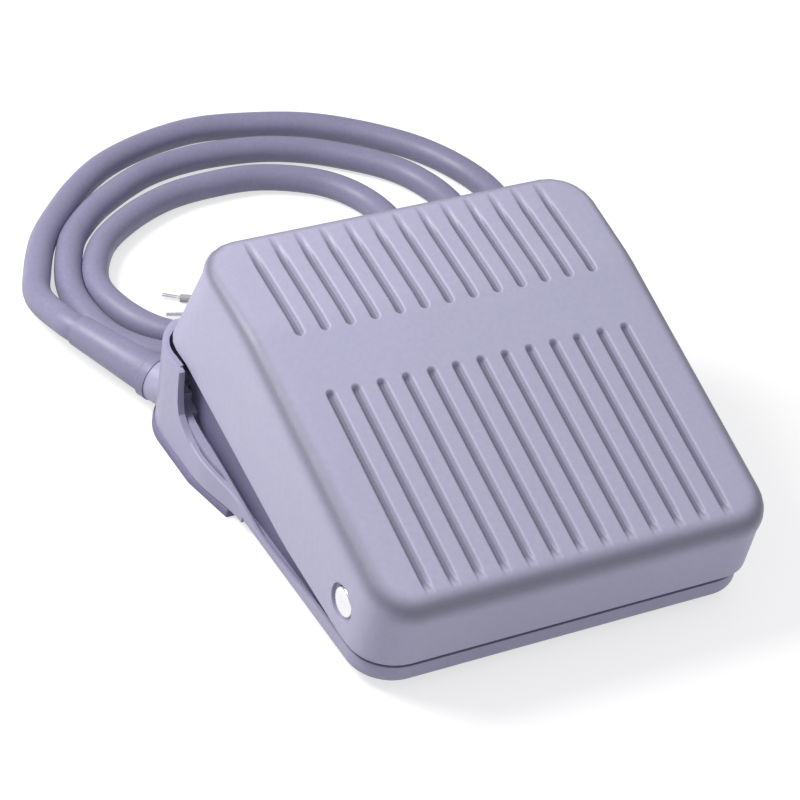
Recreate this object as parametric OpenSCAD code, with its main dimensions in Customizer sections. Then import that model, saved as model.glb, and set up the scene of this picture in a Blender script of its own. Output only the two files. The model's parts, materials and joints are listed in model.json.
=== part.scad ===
// Industrial foot switch with a ribbed tread cover hinged on a low base,
// a snap-action switch inside and a captive lead.
// +X is right, +Y is the raised rear end, +Z is up. All lengths are in millimetres.
// The origin is on the ground, under the middle of the housing.

/* [Tread cover] */
// Width of the tread cover
cover_w = 88; // [87:0.2:88.4]
// Wall thickness of the tread cover
cover_wall = 2.4; // [2:0.1:2.6]
// Radius of the cover's corners, seen from above
cover_corner_r = 9; // [8:0.5:11]
// Height of the tread's front edge above the ground
tread_front_h = 23.1; // [22.8:0.1:24.5]
// Slope of the front tread, degrees
front_slope = 18.7; // [18:0.1:20]
// Slope of the rear tread, degrees
rear_slope = 10.3; // [9:0.1:12]
// Length of the front tread, measured level
front_tread_l = 62.7; // [60:0.1:64]
// Length of the rear tread, measured level
rear_tread_l = 24.7; // [23.5:0.1:25.5]
// Length over which the two treads blend
tread_blend = 5; // [2:0.5:8]
// Fillet under the tread's front edge
front_fillet = 4.5; // [3.5:0.1:5]
// Fillet along the tread's sides
side_fillet = 3.5; // [3:0.1:4.5]
// Fillet along the tread's rear edge
rear_fillet = 2.6; // [2:0.1:3.5]
// How far the foot of the front face stands behind the tread's front edge
front_undercut = 3.6; // [2:0.1:4]
// Lean of the cover's rear face from upright, degrees
rear_lean = 21; // [19:0.2:22]
// Gap between the cover's skirt and the base, at the front
skirt_gap = 0.75; // [0.5:0.05:1.5]

/* [Grooves] */
// Number of grooves side by side
groove_count = 13; // [7:2:13]
// Distance from one groove to the next
groove_pitch = 5.5; // [5:0.1:5.6]
// Width of a groove
groove_w = 1.7; // [1.2:0.1:2.4]
// Depth of a groove
groove_depth = 0.9; // [0.5:0.1:1.2]
// Length of a groove on the front tread
front_groove_l = 44.8; // [38:0.2:45]
// Distance from the fold of the tread to the front grooves
front_groove_start = 15.1; // [14:0.1:16]
// Length of a groove on the rear tread
rear_groove_l = 22; // [16:0.2:23]
// Distance from the rear edge of the tread to the rear grooves
rear_groove_start = 5.6; // [4:0.1:7]

/* [Base] */
// How far the cover overhangs the base on each side, at the front
cover_overhang = 0.8; // [0.6:0.1:2]
// Gap between the cover and the wall that wraps round its rear
collar_gap = 0.5; // [0.4:0.05:1]
// Wall thickness of the base
base_wall = 2; // [1.6:0.1:2.2]
// Thickness of the base floor
floor_t = 2.2; // [2:0.1:3]
// Height of the base's underside above the ground
ground_gap = 2; // [1.6:0.1:3]
// Radius of the base's front corners, seen from above
front_corner_r = 9; // [8:0.5:10]
// Radius of the base's rear corners, seen from above
rear_corner_r = 14; // [13:0.5:15]
// Height of the front wall and of the side walls near the hinge
front_wall_h = 5.15; // [4.5:0.05:5.5]
// Height of the side walls at their rear end
side_wall_h = 10.2; // [9:0.1:10.6]
// Height of the wall that wraps round the cover's rear corners
collar_h = 19; // [17:0.1:20]
// Thickness of that wall
collar_wall = 1.3; // [1.1:0.1:1.5]
// Rounding of the bottom edge at the front
bottom_round = 2.2; // [1:0.1:2.5]

/* [Hinge] */
// Distance from the tread's front edge back to the hinge pin
pin_setback = 15; // [14:0.1:16]
// Height of the hinge pin above the base floor
pin_rise = 11.1; // [10:0.1:12]
// Diameter of the hinge pin
pin_d = 5.5; // [4:0.1:6]
// Running clearance of the pin in its bushes, on the radius
pin_clearance = 0.05; // [0.02:0.01:0.08]
// Thickness of a hinge ear of the base
ear_t = 5; // [4:0.1:6]
// Travel of the cover, degrees
cover_travel = 5; // [3:0.5:5]

/* [Return spring] */
// Outside diameter of the return spring
spring_d = 11; // [10:0.2:12]
// Wire diameter of the return spring
spring_wire = 1.2; // [0.8:0.1:1.4]
// Turns of the return spring
spring_turns = 7; // [5:1:8]

/* [Snap-action switch] */
// Length of the switch case
switch_l = 27.8; // [27.4:0.1:28.4]
// Height of the switch case
switch_h = 15.9; // [15.7:0.1:16.2]
// Thickness of the switch case
switch_t = 10.3; // [10:0.1:11]
// Diameter of the switch plunger
plunger_d = 3.1; // [2.6:0.1:3.4]
// Gap between the open contacts
contact_gap = 1; // [0.8:0.1:1.2]
// Rise of the lever from level, degrees
lever_rise = 13.5; // [12.5:0.1:14]

/* [Lead] */
// Diameter of the lead
lead_d = 6; // [5.6:0.1:6.1]
// Length of the tapered sleeve outside the base
sleeve_l = 22; // [20:0.5:24]
// Diameter of a core of the lead
core_d = 1.8; // [1.4:0.1:2]

/* [Hidden] */
$fn = 48;

// Material left between a cut and the surface it must break through
over = 1;

// Widths
base_w = cover_w - 2 * cover_overhang;
rear_w = cover_w + 2 * (collar_gap + collar_wall);

// Heights
fold_h = tread_front_h + front_tread_l * tan(front_slope);
crest_h = fold_h + rear_tread_l * tan(rear_slope);
floor_h = ground_gap + floor_t;
front_wall_top = ground_gap + front_wall_h;
side_wall_top = ground_gap + side_wall_h;
ledge_top = side_wall_top + 1.2;
collar_top = ground_gap + collar_h;
skirt_front_h = front_wall_top + skirt_gap;

// Lengthwise places; the sharp front edge stands ahead of its fillet
edge_ahead = front_fillet * (cos(front_slope) + sin(front_slope) - 1);
rear_face_l = (crest_h - collar_top) * tan(rear_lean);
collar_lean = 2.1;
sole_proud = 0.5;
overall_l = front_tread_l + rear_tread_l + rear_face_l - edge_ahead
            + collar_gap + collar_wall + collar_lean + sole_proud;
edge_y = -overall_l / 2 - edge_ahead;
fold_y = edge_y + front_tread_l;
crest_y = fold_y + rear_tread_l;
base_rear_y = overall_l / 2 - sole_proud;
cover_foot_y = edge_y + front_undercut;
base_front_y = cover_foot_y + cover_overhang;

// Hinge
pin_y = edge_y + pin_setback + 1.2;
pin_h = floor_h + pin_rise;
bush_wall = 1.25;
bush_flange = 1;
bush_r = pin_d / 2 + pin_clearance + bush_wall;
ear_r = bush_r + 2.2;
ear_gap = 1.1;
boss_proud = 0.8;
ear_out_x = cover_w / 2 - cover_wall - boss_proud - ear_gap - bush_flange;
ear_in_x = ear_out_x - ear_t;
pin_end_x = cover_w / 2 - 0.2;
pin_eye_depth = 0.8;
pin_eye_r = pin_d / 2 + 0.6;
clip_t = 0.8;
clip_x = ear_in_x - 0.4;

// Skirt of the cover: flat at the front, then rising to the rear in two lines
skirt_flat_y = pin_y - 1;
skirt_knee_y = pin_y + 23;
skirt_knee_h = skirt_front_h + 3.1;
skirt_rear_y = base_rear_y - 18;
skirt_rear_h = side_wall_top + 9.6;
skirt_rise = (skirt_rear_h - skirt_knee_h) / (skirt_rear_y - skirt_knee_y);
skirt_end_y = base_rear_y + 10;
skirt_end_h = skirt_rear_h + 2;

// Side walls of the base: level, a shallow dip, then rising to the rear
wall_dip = 1.05;
wall_level_y = pin_y + 10;
wall_dip_y = pin_y + 27;
wall_rise_y = pin_y + 33;
wall_end_y = base_rear_y - 19.9;

// Lower flange that grows out of the side walls towards the rear
flare_start_y = base_rear_y - 41.2;
flare_end_y = base_rear_y - 27.7;
flange_start_h = ground_gap + 2.4;
flange_mid_h = ground_gap + 3.6;
flange_end_h = ground_gap + 6.5;
collar_front_y = base_rear_y - 18.7;
rear_wall = 4.5;
rear_upright_h = ground_gap + 8;

// Lead: the bore leaves the rear left corner at an angle
exit_normal = 134;
exit_heading = 112;
exit_h = floor_h + lead_d / 2;
corner_x = -(rear_w / 2 - rear_corner_r);
corner_y = base_rear_y - rear_corner_r;
exit_x = corner_x + rear_corner_r * cos(exit_normal);
exit_y = corner_y + rear_corner_r * sin(exit_normal);
sleeve_neck_r = lead_d / 2 + 0.7;
sleeve_flange_r = lead_d / 2 + 1.8;
lead_boss_r = lead_d / 2 + 1.6;
boss_out = 1;
boss_in = 7;
lead_trough_l = 10;
flange_t = 1.6;
flange_gap = 0.1;
inner_lead_l = 24;
sleeve_tip = boss_out + sleeve_l;

// Screw bosses and the pieces they carry
screw_boss_h = 3;
screw_boss_r = 3.7;
screw_r = 1.5;
screw_depth = 4;
head_r = 2.75;
head_t = 2;
plate_t = 1.5;
boss_top = floor_h + screw_boss_h;

// Snap-action switch, in its own frame: from the bottom of the case's front end
switch_x = -14;
switch_y = fold_y - 18.85;
switch_foot_h = 8.3;
switch_h0 = floor_h + switch_foot_h;
case_wall = 1.6;
side_cover_t = 1.4;
hole_front = [2.8, 2.8];
hole_rear = [switch_l - 2.8, switch_h - 2.8];
switch_hole_r = screw_r;
lever_pivot = [2.5, switch_h + 1.3];
lever_pin_r = 0.6;
lever_eye_r = 1.05;
lever_t = 0.5;
lever_w = 4.2;
lever_l = 26;
lever_arm = 22.1;
plunger_y = 10.5;
plunger_foot = 9.3;
plunger_gap = 0.25;
plunger_top = lever_pivot[1] + (plunger_y - lever_pivot[0]) * tan(lever_rise) - lever_t - plunger_gap;
strip_t = 0.8;
strip_w = 4.5;
tab_l = 5.5;
common_y = 6.3;
blade_roll_r = 0.4;
blade_roll_y = common_y + strip_t / 2 + 0.3;
open_y = 14;
closed_y = 22.5;
contact_y = 19;
contact_r = 1.4;
rivet_t = 0.6;
blade_t = 0.4;
blade_w = 3.5;
open_arm_h = 4;
rivet_h = 0.3;
open_top = open_arm_h + strip_t + rivet_h;
blade_h = open_top + contact_gap + rivet_t + blade_t / 2;
closed_face = blade_h + blade_t / 2 + rivet_t + 0.2;
closed_arm_h = closed_face + rivet_h;
terminal_sleeve = [6.4, 3.2, 6];

// Adjusting screw: its domed head bears on the lever
press_y = switch_y + lever_pivot[0] + lever_arm * cos(lever_rise);
press_h = switch_h0 + lever_pivot[1] + lever_arm * sin(lever_rise) + lever_t / 2 + 0.45;
adjuster_r = 2;
adjuster_head_r = 3.4;
adjuster_dome_r = 6;
adjuster_head_t = 2.6;
adjuster_nut_t = 3.2;
adjuster_nut_r = 4;
adjuster_boss_r = 4.6;
adjuster_gap = 0.4;
adjuster_seat_h = press_h + adjuster_head_t + adjuster_gap + adjuster_nut_t;
adjuster_thread_in = 2.4;
adjuster_l = adjuster_head_t + adjuster_gap + adjuster_nut_t + adjuster_thread_in;

// Return spring
spring_y = crest_y - 8.7;
spring_seat_h = floor_h + 1;
spring_boss_h = 39;
spring_pin_l = 4;
spring_pin_r = spring_d / 2 - spring_wire - 0.5;
spring_collar_r = spring_d / 2 + 1;
spring_l = spring_boss_h - spring_seat_h;

// Stops
stop_x = 20;
stop_y = base_rear_y - rear_wall - 6.2;
stop_post_h = 4.8;
stop_post_r = 4.5;
buffer_t = 3;
stop_gap = 0.6;
stop_web_t = 3;
stop_web_l = 5;
stop_face_h = floor_h + stop_post_h + buffer_t + stop_gap + (stop_y - pin_y) * sin(cover_travel);
rest_x = 22;
rest_y = pin_y - 6.2;
rest_r = 2.6;
rest_t = 1.5;
rest_gap = 0.3;
rest_web_t = 4;
rest_face_h = floor_h + rest_t + rest_gap;

// Fixing holes and feet
fix_hole_r = 2.25;
fix_hole_x = 30;
fix_hole_y = pin_y + 21;
foot_r = 7;
foot_x = 29;
foot_y = pin_y + 1;
sole_rib_w = 1.6;
sole_rib_pitch = 5;
sole_rib_depth = 0.8;

// Route of the free lead, from the tip of its sleeve to the end of its jacket
lead_rest_h = lead_d / 2;
tip_x = exit_x + sleeve_tip * cos(exit_heading);
tip_y = exit_y + sleeve_tip * sin(exit_heading);
route = [
    [tip_x, tip_y, exit_h],
    [tip_x + 4 * cos(exit_heading), tip_y + 4 * sin(exit_heading), exit_h],
    [-52, 84, 4.8], [-47.5, 95, 3.4], [-41.5, 105.5, 3], [-34, 114, 3], [-25.5, 122, 3],
    [-16, 128.5, 3], [-4, 133, 3], [8.5, 135, 3], [20.5, 133.5, 3], [34, 129.5, 3], [44.5, 123, 3],
    [54, 114, 3], [60, 104, 3], [63, 92.5, 3], [61.5, 80.5, 3], [55.5, 70, 3], [47, 62, 3],
    [36, 57, 3], [24, 54.5, 3], [11.5, 53.5, 3], [-2, 53.5, 3], [-16, 53.5, 3], [-27.5, 55.5, 3],
    [-37.5, 61.5, 3], [-43, 71, 3], [-43.5, 86, 3], [-37.5, 100.5, 3], [-31, 108.5, 3],
    [-22, 115.5, 3], [-9.5, 122, 3], [3, 124.5, 3], [15.5, 124, 3], [25.5, 121.5, 3],
    [35.5, 116, 3], [46, 106.5, 3], [51, 95, 3], [51, 83.5, 3], [46, 73, 3], [37, 65.5, 3],
    [26, 61, 3], [13.5, 59.5, 3], [0, 59.5, 3], [-13.5, 59.5, 3], [-26.5, 63, 3], [-34.5, 71.5, 3],
    [-37.5, 85.5, 3], [-31.5, 98, 3], [-22, 106, 3], [-10.5, 111.5, 3], [0.5, 113.5, 3],
    [14, 113, 3], [26, 107.5, 3], [32.5, 99.5, 3], [35, 89, 3], [32.5, 78.5, 3], [25, 70.5, 3],
    [15, 66, 3], [2, 65.5, 3], [-9.5, 69, 3]
];
core_fan = 12;
core_free_l = 14;
core_bare_l = 4;
wire_r = 0.5;

// ---------- shapes used by several pieces ----------

function unit(v) = v / norm(v);

function tangent(path, i) =
    unit(path[min(i + 1, len(path) - 1)] - path[max(i - 1, 0)]);

function ring(c, t, up, r, n) =
    let (s = unit(cross(t, up)), u = cross(s, t))
    [for (k = [0:n - 1]) c + r * (cos(360 * k / n) * s + sin(360 * k / n) * u)];

// Round tube along a path, closed at both ends
module tube(path, r, n = 8, up = [0, 0, 1]) {
    last = len(path) - 1;
    points = [for (i = [0:last]) each ring(path[i], tangent(path, i), up, r, n)];
    sides = [for (i = [0:last - 1]) for (k = [0:n - 1])
        let (a = i * n, b = a + n, j = (k + 1) % n)
        each [[a + k, b + k, b + j], [a + k, b + j, a + j]]];
    start = [for (k = [0:n - 1]) k];
    end = [for (k = [n - 1:-1:0]) last * n + k];
    polyhedron(points, concat(sides, [start], [end]));
}

// Cylinder along +X
module rod_x(r, l) {
    rotate([0, 90, 0]) cylinder(r = r, h = l);
}

// The shape's mirror image about the middle is added
module both_sides() {
    children();
    mirror([1, 0, 0]) children();
}

// Side outline in Y and Z, extruded across the width
module across(points, w) {
    translate([-w / 2, 0, 0]) rotate([90, 0, 90]) linear_extrude(w) polygon(points);
}

// Disc with a rounded upper rim, its top at height 0
module rim_disc(r, fillet, t) {
    rotate_extrude($fn = 32) {
        translate([0, -t]) square([r, t - fillet]);
        translate([0, -t]) square([r - fillet, t]);
        intersection() {
            translate([r - fillet, -fillet]) circle(fillet, $fn = 24);
            square([2 * r, 4 * r], center = true);
        }
    }
}

module on_front_tread() {
    translate([0, edge_y, tread_front_h]) rotate([front_slope, 0, 0]) children();
}

module on_rear_tread() {
    translate([0, fold_y, fold_h]) rotate([rear_slope, 0, 0]) children();
}

// Solid form of the cover, drawn in by an inset on every side
module cover_form(inset) {
    corner_x = cover_w / 2 - cover_corner_r;
    r = cover_corner_r - inset;
    blend = tread_blend / 2;
    foot_drop = 2 + inset;
    rear_foot_h = skirt_rear_h - 4 - inset;
    rear_foot_y = crest_y + (crest_h - rear_foot_h) * tan(rear_lean);
    hull() both_sides() {
        on_front_tread()
            translate([corner_x, cover_corner_r, -inset])
                rim_disc(r, max(front_fillet - inset, 0.8), 6);
        on_front_tread()
            translate([cover_w / 2 - side_fillet, front_tread_l / cos(front_slope) - blend, -side_fillet])
                rotate([90, 0, 0]) cylinder(r = side_fillet - inset, h = 1, $fn = 32);
        on_rear_tread()
            translate([cover_w / 2 - side_fillet, blend + 1, -side_fillet])
                rotate([90, 0, 0]) cylinder(r = side_fillet - inset, h = 1, $fn = 32);
        on_rear_tread()
            translate([corner_x, rear_tread_l / cos(rear_slope) - cover_corner_r, -inset])
                rim_disc(r, max(rear_fillet - inset, 0.8), 5);
        translate([corner_x, cover_foot_y + cover_corner_r, skirt_front_h - foot_drop])
            cylinder(r = r, h = 1, $fn = 32);
        translate([corner_x, rear_foot_y - cover_corner_r, rear_foot_h])
            cylinder(r = r, h = 1, $fn = 32);
    }
}

// Everything below the cover's skirt line
module below_skirt() {
    across([[edge_y - 5, -5], [edge_y - 5, skirt_front_h], [skirt_flat_y, skirt_front_h],
            [skirt_knee_y, skirt_knee_h], [skirt_rear_y, skirt_rear_h],
            [skirt_end_y, skirt_end_h], [skirt_end_y, -5]], 2 * cover_w);
}

// Outline of the base seen from above, at one width, drawn in by an inset
module base_block(w, front_y, r, inset) {
    rear_r = rear_corner_r - inset;
    for (s = [-1, 1]) {
        translate([s * (w / 2 - r), front_y + r]) circle(r - inset);
        translate([s * (w / 2 - rear_corner_r), corner_y]) circle(rear_r);
    }
    translate([-w / 2 + r, front_y + inset]) square([w - 2 * r, r]);
    translate([-w / 2 + inset, front_y + r])
        square([w - 2 * inset, base_rear_y - rear_corner_r - front_y - r]);
    translate([-w / 2 + rear_corner_r, corner_y]) square([w - 2 * rear_corner_r, rear_r]);
}

// Rear part of the outline, flaring from the base's width to its rear width
module flared_block(inset) {
    translate([-rear_w / 2 + rear_corner_r, flare_end_y])
        square([rear_w - 2 * rear_corner_r, base_rear_y - inset - flare_end_y]);
    translate([-rear_w / 2 + inset, flare_end_y])
        square([rear_w - 2 * inset, corner_y - flare_end_y]);
    for (s = [-1, 1])
        translate([s * corner_x, corner_y]) circle(rear_corner_r - inset);
    polygon([[-base_w / 2 + inset, flare_start_y], [base_w / 2 - inset, flare_start_y],
             [rear_w / 2 - inset, flare_end_y], [-rear_w / 2 + inset, flare_end_y]]);
}

// Puts its children at the lead's exit, with +Z along the lead as it leaves
module at_exit() {
    translate([exit_x, exit_y, exit_h]) rotate([0, 0, exit_heading - 90]) rotate([-90, 0, 0]) children();
}

module at_switch() {
    translate([switch_x, switch_y, switch_h0]) children();
}

// Pan-head screw pointing down, the underside of its head at height 0
module pan_screw(l) {
    cylinder(r = screw_r, h = l);
    mirror([0, 0, 1]) rotate_extrude() {
        square([head_r - 0.6, head_t]);
        square([head_r, head_t - 0.6]);
        intersection() {
            translate([head_r - 0.6, head_t - 0.6]) circle(0.6);
            square([head_r, head_t]);
        }
    }
}

module driver_slot() {
    translate([-head_r, -0.4, -head_t - over]) cube([2 * head_r, 0.8, over + 0.8]);
}

// ---------- base and what is fixed to it ----------

// Side outline of the base wall, up to the ledge inside the collar
module wall_side() {
    across([[base_front_y - 5, ground_gap], [base_front_y - 5, front_wall_top],
            [wall_level_y, front_wall_top], [wall_dip_y, front_wall_top - wall_dip],
            [wall_rise_y, front_wall_top - wall_dip], [wall_end_y, side_wall_top],
            [wall_end_y + 4, ledge_top], [base_rear_y, ledge_top], [base_rear_y, ground_gap]],
           2 * rear_w);
}

// Side outline of the flange and of the collar round the cover's rear
module collar_side(inset) {
    across([[flare_start_y, ground_gap], [flare_start_y, flange_start_h],
            [flare_end_y - 6, flange_mid_h], [collar_front_y - 6, flange_end_h],
            [collar_front_y - 0.5, flange_end_h + 3.5], [collar_front_y, collar_top],
            [base_rear_y - collar_lean - inset, collar_top],
            [base_rear_y - inset, rear_upright_h], [base_rear_y - inset, ground_gap]],
           2 * rear_w);
}

// Rounds the bottom edge along the front and the front corners
module bottom_edge_cut() {
    side_l = flare_start_y - base_front_y - front_corner_r;
    both_sides() {
        translate([base_w / 2, base_front_y + front_corner_r, ground_gap])
            rotate([-90, 0, 0]) linear_extrude(side_l) edge_cut_outline();
        translate([base_w / 2 - front_corner_r, base_front_y + front_corner_r, ground_gap])
            rotate([0, 0, -90]) rotate_extrude(angle = 90)
                translate([front_corner_r, 0]) mirror([0, 1]) edge_cut_outline();
    }
    translate([0, base_front_y, ground_gap]) rotate([90, 0, -90])
        translate([0, 0, -base_w / 2 + front_corner_r])
            linear_extrude(base_w - 2 * front_corner_r) mirror([0, 1]) edge_cut_outline();
}

module edge_cut_outline() {
    difference() {
        translate([-bottom_round, -bottom_round]) square(bottom_round + over);
        translate([-bottom_round, -bottom_round]) circle(bottom_round);
    }
}

module screw_boss(x, y) {
    translate([x, y, floor_h - 0.2]) cylinder(r = screw_boss_r, h = screw_boss_h + 0.2);
}

module pilot_hole(x, y) {
    translate([x, y, boss_top - screw_depth]) cylinder(r = screw_r, h = screw_depth + over);
}

bracket_screw_x = switch_x + switch_t / 2 + 10;
bracket_screw_y = [switch_y + 8, switch_y + 20];
clamp_at = -15;
clamp_reach = 8.6;
clamp_x = exit_x + clamp_at * cos(exit_heading) + clamp_reach * sin(exit_heading);
clamp_y = exit_y + clamp_at * sin(exit_heading) - clamp_reach * cos(exit_heading);

module base_housing() color([0.68, 0.67, 0.75]) {
    difference() {
        union() {
            difference() {
                union() {
                    intersection() {
                        linear_extrude(collar_top + over)
                            base_block(base_w, base_front_y, front_corner_r, 0);
                        wall_side();
                    }
                    intersection() {
                        linear_extrude(collar_top + over) flared_block(0);
                        collar_side(0);
                    }
                }
                translate([0, 0, floor_h]) linear_extrude(collar_top)
                    intersection() {
                        base_block(base_w, base_front_y, front_corner_r, base_wall);
                        translate([-base_w, base_front_y])
                            square([2 * base_w, base_rear_y - rear_wall - base_front_y]);
                    }
                intersection() {
                    translate([0, 0, ledge_top]) linear_extrude(collar_top)
                        intersection() {
                            flared_block(collar_wall);
                            translate([-base_w, wall_end_y]) square([2 * base_w, base_w]);
                        }
                    union() {
                        collar_side(collar_wall);
                        translate([-base_w, 0, collar_top - 0.1])
                            cube([2 * base_w, base_rear_y - collar_lean - collar_wall, over]);
                    }
                }
                bottom_edge_cut();
            }
            hinge_ears();
            at_exit() translate([0, 0, -boss_in]) cylinder(r = lead_boss_r, h = boss_in + boss_out);
            for (y = bracket_screw_y) screw_boss(bracket_screw_x, y);
            screw_boss(clamp_x, clamp_y);
            for (s = [-1, 1])
                translate([s * stop_x, stop_y, floor_h - 0.2])
                    cylinder(r = stop_post_r, h = stop_post_h + 0.2);
            translate([0, spring_y, floor_h - 0.2]) {
                cylinder(r = spring_collar_r, h = spring_seat_h - floor_h + 0.2);
                cylinder(r = spring_pin_r, h = spring_seat_h - floor_h + spring_pin_l);
            }
        }
        both_sides()
            translate([ear_in_x - over, pin_y, pin_h]) rod_x(bush_r, ear_t + 2 * over);
        at_exit() translate([0, 0, -boss_in - lead_trough_l])
            cylinder(r = sleeve_neck_r, h = boss_in + boss_out + lead_trough_l + over);
        for (y = bracket_screw_y) pilot_hole(bracket_screw_x, y);
        pilot_hole(clamp_x, clamp_y);
        both_sides()
            translate([fix_hole_x, fix_hole_y, 0]) cylinder(r = fix_hole_r, h = floor_h + over);
    }
}

// Two upright ears that carry the hinge, each braced by a rib
module hinge_ears() {
    both_sides()
        translate([ear_in_x, pin_y, floor_h - 0.2]) {
            rotate([90, 0, 90]) linear_extrude(ear_t) {
                translate([-ear_r, 0]) square([2 * ear_r, pin_rise + 0.2]);
                translate([0, pin_rise + 0.2]) circle(ear_r);
            }
            translate([1, ear_r - 0.5, 0]) rotate([90, 0, 90]) linear_extrude(ear_t - 2)
                polygon([[0, 0], [9, 0], [0, pin_rise]]);
        }
}

// Ribbed rubber pad under the rear of the base
module rubber_sole() color([0.45, 0.43, 0.5]) {
    sole_front_y = flare_start_y + 1;
    difference() {
        linear_extrude(ground_gap)
            intersection() {
                flared_block(-sole_proud);
                translate([-base_w, sole_front_y]) square([2 * base_w, base_w]);
            }
        for (y = [sole_front_y + sole_rib_pitch:sole_rib_pitch:base_rear_y - sole_rib_pitch])
            translate([-base_w / 2 + rear_corner_r / 2, y, -over])
                cube([base_w - rear_corner_r, sole_rib_w, over + sole_rib_depth]);
    }
}

module front_feet() color([0.3, 0.29, 0.34])
    both_sides()
        translate([foot_x, foot_y, 0]) cylinder(r = foot_r, h = ground_gap);

module hinge_bushes() color([0.92, 0.9, 0.84])
    both_sides() difference() {
        union() {
            translate([ear_in_x, pin_y, pin_h]) rod_x(bush_r, ear_t);
            translate([ear_out_x, pin_y, pin_h]) rod_x(bush_r + 1.4, bush_flange);
        }
        translate([ear_in_x - over, pin_y, pin_h])
            rod_x(pin_d / 2 + pin_clearance, ear_t + bush_flange + 2 * over);
    }

module stop_buffers() color([0.2, 0.2, 0.22])
    both_sides()
        translate([stop_x, stop_y, floor_h + stop_post_h]) cylinder(r = stop_post_r - 0.5, h = buffer_t);

module rest_buffers() color([0.2, 0.2, 0.22])
    both_sides()
        translate([rest_x, rest_y, floor_h]) cylinder(r = rest_r, h = rest_t);

// ---------- snap-action switch and its bracket ----------

module switch_bracket() color([0.75, 0.76, 0.78]) {
    plate_x = switch_x + switch_t / 2;
    hole_l = plate_t + 2 * over;
    difference() {
        union() {
            translate([plate_x, switch_y + 1, boss_top])
                cube([plate_t, switch_l - 1, switch_h0 - boss_top + switch_h - 1]);
            translate([plate_x, switch_y + 3, boss_top])
                cube([13.5, switch_l - 6, plate_t]);
        }
        for (hole = [hole_front, hole_rear])
            translate([plate_x - over, switch_y + hole[0], switch_h0 + hole[1]])
                rod_x(switch_hole_r, hole_l);
        for (y = bracket_screw_y)
            translate([bracket_screw_x, y, boss_top - over]) cylinder(r = screw_r, h = hole_l);
    }
}

module bracket_screws() color([0.8, 0.8, 0.82])
    for (y = bracket_screw_y)
        translate([bracket_screw_x, y, boss_top + plate_t]) mirror([0, 0, 1])
            difference() {
                pan_screw(plate_t + screw_depth - 0.5);
                driver_slot();
            }

// Hollow case, open on its left side
module switch_case() color([0.13, 0.13, 0.14])
    at_switch() {
        body_x = -switch_t / 2 + side_cover_t;
        body_t = switch_t - side_cover_t;
        difference() {
            union() {
                translate([body_x, 0, 0]) cube([body_t, switch_l, switch_h]);
                for (x = [-lever_w / 2 - 1.6, lever_w / 2 + 0.4])
                    translate([x, lever_pivot[0], 0]) {
                        translate([0, -1.5, switch_h - 0.5]) cube([1.2, 3, lever_pivot[1] - switch_h + 0.5]);
                        translate([0, 0, lever_pivot[1]]) rod_x(1.5, 1.2);
                    }
            }
            translate([body_x - over, case_wall, case_wall])
                cube([body_t - case_wall + over, switch_l - 2 * case_wall, switch_h - 2 * case_wall]);
            for (y = [common_y, open_y, closed_y])
                translate([-strip_w / 2, y - strip_t / 2, -over]) cube([strip_w, strip_t, case_wall + 2 * over]);
            translate([0, plunger_y, switch_h - case_wall - over])
                cylinder(r = plunger_d / 2 + 0.05, h = case_wall + 2 * over);
            translate([-switch_t, lever_pivot[0], lever_pivot[1]]) rod_x(lever_pin_r, 2 * switch_t);
            for (hole = [hole_front, hole_rear])
                translate([-switch_t, hole[0], hole[1]]) rod_x(switch_hole_r, 2 * switch_t);
        }
        for (hole = [hole_front, hole_rear])
            difference() {
                translate([body_x, hole[0], hole[1]]) rod_x(screw_r + 1.2, body_t - case_wall);
                translate([-switch_t, hole[0], hole[1]]) rod_x(switch_hole_r, 2 * switch_t);
            }
    }

module switch_side_cover() color([0.13, 0.13, 0.14])
    at_switch() difference() {
        translate([-switch_t / 2, 0, 0]) cube([side_cover_t, switch_l, switch_h]);
        for (hole = [hole_front, hole_rear])
            translate([-switch_t, hole[0], hole[1]]) rod_x(switch_hole_r, 2 * switch_t);
    }

switch_screw_l = switch_t + plate_t + 3;

module switch_screws() color([0.8, 0.8, 0.82])
    at_switch()
        for (hole = [hole_front, hole_rear])
            translate([-switch_t / 2, hole[0], hole[1]]) rotate([0, 90, 0]) difference() {
                pan_screw(switch_screw_l);
                driver_slot();
            }

module switch_nuts() color([0.8, 0.8, 0.82])
    at_switch()
        for (hole = [hole_front, hole_rear])
            translate([switch_t / 2 + plate_t, hole[0], hole[1]]) difference() {
                rotate([0, 90, 0]) cylinder(r = 3.1, h = 2.4, $fn = 6);
                translate([-over, 0, 0]) rod_x(screw_r, 2.4 + 2 * over);
            }

// Upright strip through the case floor, at a place along the case
module terminal_strip(y, top) {
    translate([-strip_w / 2, y - strip_t / 2, -tab_l]) cube([strip_w, strip_t, tab_l + top]);
}

module rivet(y, h, t) {
    translate([0, y, h]) cylinder(r = contact_r, h = t);
}

module terminal_common() color([0.8, 0.68, 0.35])
    at_switch() difference() {
        terminal_strip(common_y, blade_h + 1);
        translate([-strip_w, blade_roll_y, blade_h]) rod_x(blade_roll_r + 0.1, 2 * strip_w);
    }

module terminal_open() color([0.8, 0.68, 0.35])
    at_switch() {
        terminal_strip(open_y, open_arm_h + strip_t);
        translate([-strip_w / 2, open_y, open_arm_h])
            cube([strip_w, contact_y + contact_r - open_y, strip_t]);
        rivet(contact_y, open_arm_h + strip_t, rivet_h);
    }

module terminal_closed() color([0.8, 0.68, 0.35])
    at_switch() {
        terminal_strip(closed_y, closed_arm_h + strip_t);
        translate([-strip_w / 2, contact_y - contact_r, closed_arm_h])
            cube([strip_w, closed_y - contact_y + contact_r, strip_t]);
        rivet(contact_y, closed_face, rivet_h);
    }

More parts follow.
